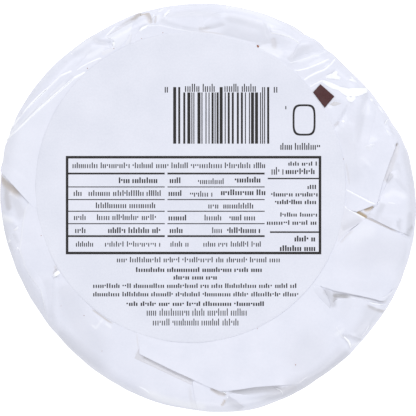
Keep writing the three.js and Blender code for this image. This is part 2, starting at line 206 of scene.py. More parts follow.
# Hollows of the sheet that lies lowest, which open up under the free edges of the others:
# as the folds, then how much grey painted shade and warm brown painted shade darken them.
hollows = [
    # under the left pleat, and its slit
    ([(-54.6, 8.9), (-51.2, 5.4), (-48.1, 2.4)], (-0.35, -0.4), 1, 2.2, (0, 0.4), 0.2, 0.48, 0.42),
    ([(-53.8, 7.1), (-51.2, 3.9), (-48.6, 1.6)], (-0.2, -0.3), 1.6, 2.6, (0, 0.3), 0.3, 0.06, 0.02),
    ([(-40.2, -14.6), (-39.6, -15.7), (-40, -17)], -0.2, 0.6, 0.6, (0.3, 0.1), 0.2, 0.04, 0.15),
    # under the long edge, its knot and the wedge
    ([(-17.5, -38.9), (-12.5, -41.4), (-3.9, -45.5)], -0.5, 1.6, 0.9, (0.05, 0.04), 0.2, 0.1, 0.08),
    ([(0.5, -47), (2.9, -48.5), (4.8, -48.9)], -0.35, 0.8, 0.8, (0.15, 0.1), 0.2, 0.38, 0.25),
    ([(4.7, -48.2), (8.4, -47.9), (12.5, -47.6), (16.2, -47.2), (20.9, -46.9)], -0.4, 1.6, 1.5,
      (0.2, 0.3), 0.2, 0.55, 0.04),
    ([(4.7, -49.8), (4.1, -51), (3.5, -51.9)], -0.25, 0.4, 0.4, (0.4, 0.1), 0.2, 0.3, 0.5),
    # under the right flap
    ([(32.4, -22.5), (35.8, -22.7), (38.7, -22.9), (40.8, -23.3), (42.9, -23.9), (44.9, -24.4),
      (47, -24.6)], -0.3, 2, 0.8, (0.02, 0.08), 0.2, 0.12, 0.06),
    ([(32.9, -22.2), (33.2, -23.8), (32.5, -25.1)], (-0.25, -0.2), 0.8, 0.8, (0.2, 0.4), 0.2, 0.6, 0.08),
    # round the two lips
    ([(40.5, -0.4), (42.3, 0), (43.9, 0.4)], -0.25, 1, 1.1, (0.2, 0.05), 0.2, 0, 0.75),
    ([(38.9, -1), (40.5, -2), (41.5, -2.6)], -0.3, 0.9, 0.9, 0.1, 0.2, 0.65, 0.9),
    ([(41, -2.4), (44.9, -4.1), (49.9, -6.4)], -0.15, 0.5, 0.6, (0.05, 0.3), 0.2, 0.1, 0.35),
    ([(40, -3.9), (37.1, -5.7), (34.8, -6.9)], -0.1, 0.5, 0.6, 0.2, 0.3, 0.04, 0.08),
    # right sheet
    ([(49.5, 16.7), (47.9, 11.5), (46.4, 6.8)], -0.2, 1.4, 2, (0.03, 0.05), 0.2, 0.08, 0.12),
    ([(49, 16.5), (49.8, 16.9)], -0.4, 0.6, 0.6, 0.2, 0.2, 1, 0.3),
    # top, upper left and corner
    ([(17, 44.7), (17.4, 42.9), (17.4, 40.8)], -0.2, 1, 1.3, (0.2, 0.5), 0.3, 0.18, 0.12),
    ([(-23.5, 47.3), (-21.4, 48.5), (-19.6, 49.8), (-18, 50.8)], -0.25, 1.2, 1.2, (0.4, 0),
      0.3, 0.3, 0.15),
    ([(32.9, 21.4), (33.7, 21.9), (34.2, 22.7)], -0.15, 0.6, 0.6, 0.2, 0.2, 0.16, 0.12),
]

# Soft painted shade where facets lean away from the light too slightly to model, and in gaps:
# path, reach on its left and right, shares over which the ends die out, dark and, if any, brown.
shades = [
    # left rim
    ([(-53, 6.3), (-52.5, 2.9), (-52.3, 0.8), (-51.7, -1)], 1.5, 1.5, (0.1, 0.2), 0.38, 0.13),
    ([(-50.7, -6.3), (-50.2, -7.8), (-49.4, -9.4)], 0.8, 1, (0.1, 0.2), 0.16),
    ([(-52, 3.7), (-50.2, 1.3), (-49.1, -1), (-49.1, -3.7)], 2.2, 1.9, (0.1, 0.3), 0.2, 0.03),
    ([(-53.6, -3.7), (-52.3, -8.4), (-50.7, -12.3)], 1.2, 2.4, 0.2, 0.12),
    # upper left
    ([(-30.6, 44.9), (-29, 43.6), (-27.4, 43), (-25.1, 43)], 1.6, 1.2, (0.05, 0.4), 0.15, 0.02),
    ([(-36.1, 40), (-32.9, 40.5), (-29.3, 41.9)], 2, 1.6, 0.3, 0.12),
    ([(-48.6, 26.1), (-43.9, 32.4), (-39.2, 37.1)], 2, 1.4, 0.3, 0.05),
    ([(-20.9, 48.9), (-19.3, 50), (-18.2, 51)], 0.9, 1.4, (0.5, 0), 0.6, 0.3),
    ([(-20, 45.7), (-20.4, 42.6)], 0.35, 0.5, 0.1, 0.1, 0.04),
    # top
    ([(-16.7, 51), (-15.4, 49.9), (-15, 48.1)], 0.9, 1.1, 0.1, 0.12, 0.25),
    ([(-13.1, 49.4), (-11.2, 48.7), (-8.6, 47.7), (-4.7, 46.8)], 1.1, 1.3, (0.1, 0.6), 0.14),
    ([(-7.8, 47.6), (-4.2, 46.9), (-0.5, 46.5)], 0.4, 1.8, (0.3, 0.1), 0.16),
    ([(-2.6, 46.8), (-0.8, 46.9), (1, 47.2)], 0.7, 0.9, (0.1, 0.5), 0.32, 0.1),
    ([(-1, 46.6), (2.1, 47.2), (5.2, 48.1)], 1.8, 0.3, (0.1, 0.3), 0.3),
    ([(-2.6, 46.3), (1.3, 45.8), (5.2, 45.2)], 0.4, 0.4, (0.2, 0.4), 0.14, 0.12),
    ([(1.6, 45.7), (5.2, 45.1), (11, 43.6), (16.2, 43.1)], 5.4, 0.2, (0.3, 0), 0.2),
    ([(-12.5, 50.2), (-8.6, 50.6), (-4.7, 51), (-0.8, 51), (4.7, 50.3)], 1.1, 1.6, (0.15, 0.2), 0.2),
    ([(3.7, 49.9), (8.4, 49.1), (11.5, 48.2), (14.9, 47)], 1.6, 2.4, (0.2, 0.1), 0.22),
    ([(14.9, 49.1), (15.8, 46.3), (16.6, 43.1)], 0.1, 6, (0.3, 0.05), 0.22),
    # crumpled quarter
    ([(17.5, 44.4), (20.4, 43.8), (23, 42.9)], 0.3, 2.2, (0.1, 0.5), 0.1),
    ([(20.9, 38.4), (22.5, 40.2), (24.6, 41.7), (29.3, 42.3)], 1.2, 2.6, (0.05, 0.6), 0.22),
    # right
    ([(41.8, 30.8), (41.3, 28.2), (40.5, 24.6), (39.5, 19.6), (38.7, 15.2)], 1.1, 2.6, (0.1, 0.3), 0.15),
    ([(34.5, 25.1), (36.1, 20.4), (37.1, 14.6), (37.9, 9.4), (38.9, 4.7)], 3.6, 3.2, (0.3, 0.2), 0.1),
    ([(50.7, 17.2), (52.8, 9.9), (53.6, 3.4), (53.6, -5.2)], 2.6, 3, (0.2, 0.1), 0.18),
    ([(53, -0.5), (52.8, -3.7), (52.5, -6.5)], 2, 1.6, 0.2, 0.32),
    ([(35.8, 12.5), (36.5, 9.4), (37.1, 5.5)], 0.4, 0.45, 0.3, 0.14, 0.1),
    ([(36.6, 27.2), (35.8, 25.6), (34.8, 23.8)], 0.6, 0.6, (0.2, 0.3), 0.12),
    ([(48.7, 16.2), (49.3, 16.6), (49.9, 17)], 0.6, 0.6, 0.2, 0.4, 0.04),
    ([(48.1, 9.4), (47.4, 7.8), (46.3, 6.5)], 1.2, 0.9, 0.2, 0.36, 0.04),
    ([(48.3, 8.1), (50.4, 5.5), (53, 2.9)], 2.2, 0.25, (0.2, 0.1), 0.12),
    ([(49.4, 12.5), (49.8, 9.4), (49.9, 6.8)], 1.6, 1.4, 0.3, 0.14),
    # rim folds and lips
    ([(46, 1.3), (44.9, -1), (43.9, -3.4)], 1, 1.6, 0.1, 0.22),
    ([(44.4, -2.9), (48.1, -5)], 2.4, 0.5, 0.2, 0.12),
    ([(50.2, -2.4), (49.5, -3.9), (49.8, -6)], 1.4, 0.25, (0.2, 0.1), 0.24),
    ([(51.5, -7.1), (52.5, -5.7), (53.6, -4.2)], 0.3, 2.2, 0.1, 0.5),
    ([(40.8, -1.3), (42.6, -1.8), (43.9, -2.4)], 0.9, 0.9, 0.3, 0.12, 0.02),
    ([(35, -6), (37.6, -4.8), (40.8, -3.1)], 2.4, 0.25, (0.1, 0.2), 0.22, 0.02),
    ([(34.5, -9.4), (36.1, -7.3), (38.1, -5.7)], 0.4, 0.5, 0.2, 0.05, 0.12),
    # right flap and the cavity under it
    ([(32.4, -14.6), (37.6, -12.8), (44.4, -11), (52.3, -11)], 6, 9, (0.6, 0.05), 0.11),
    ([(35.8, -19.9), (41, -20.9), (46.3, -20.1)], 3, 2, 0.3, 0.05),
    ([(30, -21.2), (31.4, -22.2), (32.7, -24), (32.7, -26.4)], 1.3, 1.6, (0.15, 0.2), 0.36, 0.02),
    ([(33.7, -21.8), (35.8, -22.2), (38.7, -22.8), (41.3, -23.5)], 0.4, 0.9, (0.3, 0.2), 0.15, 0.05),
    ([(32.5, -23), (34.5, -23), (37.9, -23.3)], 1, 0.8, (0.1, 0.5), 1, 0.06),
    ([(41.3, -25.3), (43.9, -26.4), (46.3, -27)], 0.5, 1.1, (0.2, 0.1), 0.5, 0.1),
    # lower right
    ([(42.9, -25.1), (41.8, -29.3), (38.7, -33.7)], 4.2, 3.2, (0.2, 0.1), 0.2),
    ([(34.5, -25.3), (37.6, -26.1)], 4, 4, 0.3, 0.06),
    ([(34.5, -33.1), (37.4, -33.4), (40.5, -34.5)], 0.4, 1.5, 0.1, 0.32),
    ([(37.6, -37.1), (33.4, -40.8), (28.2, -44.4), (23, -47.3), (19.9, -48.6)], 4.6, 5, (0.12, 0.1),
      0.36),
    ([(31.9, -31.9), (26.1, -37.6), (21.4, -43.9)], 9, 9, (0.4, 0.3), 0.1),
    # bottom
    ([(13.6, -47), (18.8, -47.2), (23.8, -46.5)], 0.5, 2.6, (0.2, 0.1), 0.46, 0.05),
    ([(9.1, -49.9), (14.1, -49.5), (20.1, -48.6), (25.3, -46.3)], 1.6, 3, (0.6, 0.05), 0.42),
    ([(5.2, -49.1), (7.6, -51), (9.7, -52.3)], 0.3, 3.6, 0.1, 0.34),
    # lower left
    ([(-39.7, -32.9), (-34, -36.3), (-28.7, -40.8), (-25.1, -43.9)], 4.6, 5, (0.1, 0.4), 0.16),
    ([(-38.1, -19.3), (-36.1, -25.3), (-31.9, -33.2), (-25.1, -40.2)], 5, 4.5, (0.1, 0.3), 0.12),
    ([(-42.3, -17.8), (-42.1, -24), (-41.3, -29.3)], 2.2, 1.6, 0.2, 0.08),
    ([(-47.6, -14.1), (-45.7, -20.1), (-43.1, -26.1)], 2.5, 2.5, 0.3, 0.05),
    ([(-40.1, -14.8), (-39.7, -15.9), (-40.5, -17.6)], 0.55, 0.45, (0.2, 0.3), 0.04, 0.2),
    ([(-4.6, -46), (-4.4, -49.1), (-3.7, -52.5)], 0.25, 1, (0.3, 0), 0.09, 0.05),
    ([(-4.1, -49.6), (-3.4, -52.5)], 1, 0.2, (0.4, 0), 0.08, 0.03),
    ([(-17.2, -38.8), (-11, -41.8), (-4.3, -44.9)], 0.2, 0.5, 0.04, 0.5, 0.2),
    ([(-18.8, -37.6), (-18, -38.9), (-17, -39.3)], 0.9, 0.9, 0.2, 0.06, 0.08),
    ([(-18.5, -32.1), (-18.4, -35.5), (-18.3, -38.1)], 0.2, 0.2, (0.05, 0.1), 0, 0.17),
    ([(-30.6, -26.3), (-28.7, -27.6), (-26.1, -29.5), (-24.6, -30.3)], 0.3, 0.4, 0.2, 0.28, 0.28),
]

# The same for facets that lean towards the light, with how strong a painted highlight they get.
gleams = [
    ([(-53.8, -2.4), (-52, -3.1), (-50.4, -3.9)], 1.3, 1.2, (0.1, 0.4), 0.5),
    ([(-37.1, 40.2), (-32.4, 43.1), (-28.7, 45.5)], 1.4, 1.4, 0.3, 0.25),
    ([(-32.4, 38.9), (-29.3, 40.5), (-26.7, 42.2)], 1.2, 1, (0.3, 0.2), 0.35),
    ([(15.7, 49.1), (16.7, 46.5), (18.8, 46)], 1.8, 0.1, (0.2, 0.3), 0.25),
    ([(1.6, 52.8), (7.3, 52.5), (12.5, 51.2), (17.2, 48.9), (21.4, 46.3)], 2.6, 2.4, 0.3, 0.42),
    ([(13.1, 41.9), (16.7, 41), (20.1, 40.2)], 1.8, 1.8, 0.2, 0.4),
    ([(23, 38.1), (26.1, 39.1), (29.8, 40.5)], 0.8, 0.8, 0.2, 0.35),
    ([(39.5, 13.3), (41.3, 12.3), (42.6, 10.5)], 0.7, 0.5, (0.2, 0.4), 0.2),
    ([(45.7, 2.6), (48.3, 4.2), (52.3, 2.6)], 1.4, 1.2, 0.2, 0.3),
    ([(36.1, -8.9), (40.8, -5.5), (44.9, -6.5)], 2.6, 4.2, 0.3, 0.22),
    ([(34, -31.9), (34.8, -32.9)], 2.4, 2.4, 0.2, 0.3),
    ([(37.1, -35.8), (38.7, -35.7), (40.5, -34.8)], 0.9, 1, (0.2, 0), 0.4),
    ([(-30.8, -30.3), (-29.3, -31.4), (-27.2, -28.7)], 0.5, 0.5, 0.2, 0.4),
    ([(-26.9, -30), (-25.1, -31.4)], 0.6, 0.6, 0.2, 0.4),
    ([(-52.3, 18.8), (-50.7, 20.6), (-49.1, 22.7)], 1.1, 1.1, (0.2, 0.3), 0.4),
    ([(-18.3, -47), (-12.5, -49.9), (-6, -51.6), (0, -52.3)], 2.2, 1.8, (0.3, 0.1), 0.5),
    ([(-51.2, 19.5), (-49.1, 21.7), (-46, 24.9), (-42.9, 27.8), (-39.7, 30.6), (-36.6, 33.4)],
      0.7, 0.5, 0.1, 0.45),
]

foldCurve = 1.6  # how steeply a fold falls away from its path
toning = {
    "softness": 0.1,  # of shades and gleams, across their path
    "gain": 1.8,  # a shade is whole where its profile is over 1 / gain
    "hollowGain": 2.2,
}


def nearestOnPath(x, y, corners):
    # signed distance to the path, positive on its left, and the share of it travelled
    spans = np.hypot(*np.diff(corners, axis=0).T)
    travelled = np.concatenate([[0.0], np.cumsum(spans)])
    nearest = np.full_like(x, np.inf)
    side = np.ones_like(x)
    along = np.zeros_like(x)
    for start, end, span, before in zip(corners[:-1], corners[1:], spans, travelled):
        directionX, directionY = (end - start) / span
        fromX, fromY = x - start[0], y - start[1]
        step = np.clip(fromX * directionX + fromY * directionY, 0.0, span)
        distance = np.hypot(fromX - step * directionX, fromY - step * directionY)
        closer = distance < nearest
        left = np.where(directionX * fromY - directionY * fromX >= 0, 1.0, -1.0)
        nearest = np.where(closer, distance, nearest)
        side = np.where(closer, left, side)
        along = np.where(closer, (before + step) / travelled[-1], along)
    return nearest * side, along


def alongPath(x, y, path, height, left, right, ends, softness):
    # height * (1 - distance / reach)^curve on each side of a path, joined by a smooth step,
    # and dying out over its ends: worked out only where it reaches
    corners = ontoSkin(path)
    reach = max(left, right)
    low, high = corners.min(0) - reach, corners.max(0) + reach
    near = (x > low[0]) & (x < high[0]) & (y > low[1]) & (y < high[1])
    total = np.zeros_like(x)
    if near.any():
        offset, along = nearestOnPath(x[near], y[near], corners)
        onLeft, onRight = (
            size * np.clip(1 - np.abs(offset) / span, 0, 1) ** foldCurve
            for size, span in zip(np.broadcast_to(height, 2), (left, right))
        )
        total[near] = mix(onRight, onLeft, smoothStep(offset / (2 * softness) + 0.5))
        for travelled, fade in zip((along, 1 - along), np.broadcast_to(ends, 2)):
            total[near] *= smoothStep(travelled / fade) if fade else 1.0
    return total


def reliefOf(rows, x, y, softer=0.0):
    # sum of the given folds on the skin
    total = np.zeros_like(x)
    for path, height, left, right, ends, softness, *_ in rows:
        total += alongPath(x, y, path, height, left, right, ends, softness + softer)
    return total


def raiseTones(shares, tones, rows, gain, x, y):
    # each tone's share becomes the greatest of itself and the rows', which fade out towards
    # their reach as gain * profile, held at 1
    for path, _, left, right, ends, softness, *amounts in rows:
        profile = np.clip(gain * alongPath(x, y, path, 1, left, right, ends, softness), 0, 1)
        for tone, amount in zip(tones, amounts):
            shares[tone] = np.maximum(shares[tone], amount * profile)


def shadeShares(x, y):
    # share of each tone at every place: painted shade from the shades, painted highlight from the gleams
    shares = {tone: np.zeros_like(x) for tone in ("shadow", "innerSideAndShade", "paintedGlint")}
    for tones, rows in ((("shadow", "innerSideAndShade"), shades), (("paintedGlint",), gleams)):
        asFolds = [(row[0], 0, *row[1:4], toning["softness"], *row[4:]) for row in rows]
        raiseTones(shares, tones, asFolds, toning["gain"], x, y)
    return shares


def writeShares(piece, shares):
    # named values from 0 to 1 at every point of a mesh
    for name, values in shares.items():
        attribute = piece.data.attributes.new(name, "FLOAT", "POINT")
        attribute.data.foreach_set("value", np.clip(values, 0, 1))


crumple = {
    "waves": 6,
    "shortest": 4.5,
    "longest": 10.0,
    "height": 0.03,
    "warp": 0.35,  # how far its creases wander, as a share of a wave
    "warpRate": 1.7,
    "warpShift": 9,
    "from": math.radians(8),  # the crumpled quarter runs between these two directions
    "to": math.radians(74),
    "fade": 0.2,
    "inCrumple": 3.0,  # it is this many times as rough as the rest
}


def crumpleHeight(x, y):
    # sum of triangle waves in seeded directions, so that flat facets meet at creases
    number = np.arange(crumple["waves"])
    heading = seededShare(number + 3) * math.pi
    length = mix(crumple["shortest"], crumple["longest"], seededShare(number + 17))
    total = np.zeros_like(x)
    for turn, span, shift in zip(heading, length, seededShare(number + 31)):
        across = (x * math.sin(turn) - y * math.cos(turn)) / span
        warp = crumple["warp"] * np.sin(across * crumple["warpRate"] + shift * crumple["warpShift"])
        run = (x * math.cos(turn) + y * math.sin(turn)) / span + shift + warp
        total += (4 * np.abs(run - np.floor(run + 0.5)) - 1) * span / crumple["longest"]
    angle = np.arctan2(y, x)
    inside = smoothStep((angle - crumple["from"]) / crumple["fade"])
    inside = inside * smoothStep((crumple["to"] - angle) / crumple["fade"])
    return total * crumple["height"] * mix(1.0, crumple["inCrumple"], inside)


def labelDistance(x, y):
    # distance outside the label's edge, negative under the label
    return np.hypot(x - label["centre"][0], y - label["centre"][1]) - label["radius"]


# slow waves under the label
slowWaves = {
    "x": (6.1, 0.7, 7.7),  # span, shift and span of the wander; a wave is 2 pi spans long
    "y": (5.3, 1.9, 8.9),
    "longest": (13.0, 17.0, 2.0),  # span along x and along y, shift
    "shares": (0.6, 0.4),  # of the waves above and of the longest
}


def gatherHeight(x, y):
    # what the label lies on: softened folds that die out inwards, and slow sine waves
    inwards = np.clip(-labelDistance(x, y), 0, None)
    pressed = label["pressedShare"] * np.exp(-inwards / label["pressedFade"])
    waves = 1.0
    for here, other, (span, shift, wander) in ((x, y, slowWaves["x"]), (y, x, slowWaves["y"])):
        waves = waves * np.sin(here / span + shift + np.sin(other / wander))
    spanX, spanY, shift = slowWaves["longest"]
    wavesShare, longestShare = slowWaves["shares"]
    unevenness = wavesShare * waves + longestShare * np.sin(x / spanX + y / spanY + shift)
    relief = reliefOf(folds, x, y, label["pressedSoftness"])
    return pressed * relief + label["wave"] * unevenness


def wallShare(x, y):
    # 0 on the face and shoulder, growing to 1 at the foot
    top = outlineRadius(np.arctan2(y, x)) - shoulderInset + shoulderLength
    return np.clip((np.hypot(x, y) - top) / wallLength, 0, 1)


def skinHeight(x, y):
    # relief that all the paper shares: full outside the label, pressed at its edge, equal
    # to what the label lies on under it, and dying out down the wall
    distance = labelDistance(x, y)
    share = mix(label["pressedShare"], 1.0, smoothStep(distance / label["pressedReach"]))
    free = share * (reliefOf(folds, x, y) + crumpleHeight(x, y)) * (1 - smoothStep(wallShare(x, y)))
    under = gatherHeight(x, y) - label["skinBelow"]
    return mix(under, free, smoothStep(distance / label["sinkReach"] + 1))


def makeMesh(name, points, faces):
    # a smoothly shaded piece from points in millimetres
    mesh = bpy.data.meshes.new(name)
    mesh.from_pydata((points.reshape(-1, 3) * metresPerMm).tolist(), [], faces)
    mesh.polygons.foreach_set("use_smooth", np.ones(len(mesh.polygons), bool))
    mesh.update()
    piece = bpy.data.objects.new(name, mesh)
    bpy.context.scene.collection.objects.link(piece)
    return piece


def skinFromRows(name, rows, firstPole, lastPole):
    # closed skin: rows of points from one pole to the other, each row a closed ring
    rowCount, columnCount = rows.shape[:2]
    points = np.concatenate([[firstPole], rows.reshape(-1, 3), [lastPole]])
    index = 1 + np.arange(rowCount * columnCount).reshape(rowCount, columnCount)
    beside = np.roll(index, -1, axis=1)
    quads = np.stack([index[:-1], index[1:], beside[1:], beside[:-1]], axis=-1).reshape(-1, 4)
    first = np.stack([np.zeros(columnCount, int), index[0], beside[0]], axis=-1)
    last = np.stack([index[-1], np.full(columnCount, len(points) - 1), beside[-1]], axis=-1)
    return makeMesh(name, points, quads.tolist() + first.tolist() + last.tolist())


def slabFromGrid(name, upper, lower):
    # closed slab between two grids of points with the same rows and columns
    rows, columns = upper.shape[:2]
    top = np.arange(rows * columns).reshape(rows, columns)
    under = top + rows * columns
    rim = np.concatenate([top[0, :-1], top[:-1, -1], top[-1, :0:-1], top[:0:-1, 0]])
    after = np.roll(rim, -1)
    faces = np.concatenate([
        np.stack([top[:-1, :-1], top[:-1, 1:], top[1:, 1:], top[1:, :-1]], axis=-1).reshape(-1, 4),
        np.stack([under[:-1, :-1], under[1:, :-1], under[1:, 1:], under[:-1, 1:]], axis=-1).reshape(-1, 4),
        np.stack([rim, rim + rows * columns, after + rows * columns, after], axis=-1),
    ])
    points = np.concatenate([upper.reshape(-1, 3), lower.reshape(-1, 3)])
    across, along = upper[1, 0] - upper[0, 0], upper[0, 1] - upper[0, 0]
    if np.cross(along, across)[2] < 0:
        faces = faces[:, ::-1]
    return makeMesh(name, points, faces.tolist())


wallPleats = {
    "count": 27,
    "depth": 0.24,
    "least": 0.4,  # share of that depth which the shallowest has
    "width": 8.5,  # degrees from a pleat's edge to where it dies out
    "steep": 0.06,  # share of that on its steep side
    "lean": 7,  # degrees of lean between rim and foot
    "wander": 0.9,
    "grows": 2.2,  # it grows over the first 1 / 2.2 of the wall
    "dies": 3,  # and dies out over the last 1 / 3
}


def wallPleatDepth(angle, down):
    # saw teeth, depth * (1 - turn / width), with a steep side and a wide one, that lean and
    # grow on their way down the wall and die out at its foot
    number = np.arange(wallPleats["count"])
    spacing = 360 / wallPleats["count"]
    places = (number + wallPleats["wander"] * (seededShare(number) - 0.5)) * spacing
    leans = wallPleats["lean"] * (seededShare(number + 40) - 0.5) * 2
    depths = wallPleats["depth"] * mix(wallPleats["least"], 1, seededShare(number + 80))
    total = np.zeros_like(angle)
    for place, lean, depth in zip(places, leans, depths):
        offset = turnFrom(angle, place + lean * down)
        reach = np.where(offset > 0, wallPleats["width"], wallPleats["width"] * wallPleats["steep"])
        total += depth * np.clip(1 - np.abs(offset) / reach, 0, 1)
    dying = smoothStep(down * wallPleats["dies"] - (wallPleats["dies"] - 1))
    return total * smoothStep(down * wallPleats["grows"]) * (1 - dying)


wrapper = {
    "columns": 1080,
    "crowding": 0.3,  # share by which its columns lie closer together where it is crumpled
    "crowdedAt": math.radians(55),
    "underLabel": 0.7,  # how far in from the label's edge its close rows begin
    "rows": [3, 54, 14, 11, 4],  # under the label, on the face, shoulder, wall and foot
    "baseRows": 2,
}


def makeWrapper():
    # rows of places on the skin, from under the label out to the foot, then the flat base
    even = np.arange(wrapper["columns"]) / wrapper["columns"] * 2 * math.pi
    angle = even - wrapper["crowding"] * np.sin(even - wrapper["crowdedAt"])
    heading = np.stack([np.cos(angle), np.sin(angle)], axis=-1)
    middle = np.array(label["centre"])
    stops = [np.broadcast_to(middle, heading.shape)]
    stops.append(middle + (label["radius"] - wrapper["underLabel"]) * heading)
    stops.append((outlineRadius(angle) - shoulderInset)[:, None] * heading)
    for length in (shoulderLength, wallLength, footLength):
        stops.append(stops[-1] + length * heading)
    places = []
    for start, end, count in zip(stops[:-1], stops[1:], wrapper["rows"]):
        places.append(mix(start, end, ((np.arange(count) + 1) / count)[:, None, None]))
    x, y = np.moveaxis(np.concatenate(places), -1, 0)
    down = wallShare(x, y)
    outside = labelDistance(x, y) > 0
    push = skinHeight(x, y) + reliefOf(hollows, x, y) * outside * (1 - down)
    rows = onWheel(x, y, push - wallPleatDepth(np.arctan2(y, x), down))
    share = 1 - (np.arange(wrapper["baseRows"]) + 1) / (wrapper["baseRows"] + 1)
    rows = np.concatenate([rows, rows[-1] * share[:, None, None]])
    top = onWheel(middle[:1], middle[1:], skinHeight(middle[:1], middle[1:]))[0]
    piece = skinFromRows("paperWrapper", rows, top, (0.0, 0.0, 0.0))
    shares = shadeShares(x, y)
    # painted shade, grey and warm, along the hollows
    raiseTones(shares, ("shadow", "innerSideAndShade"), hollows, toning["hollowGain"], x, y)
    others = (1, len(piece.data.vertices) - x.size - 1)  # the points before and after these
    shares = {tone: np.pad((share * outside).ravel(), others) for tone, share in shares.items()}
    writeShares(piece, shares)
    return piece


wrapperPiece = makeWrapper()
print("wrapper made:", len(wrapperPiece.data.polygons), "faces")
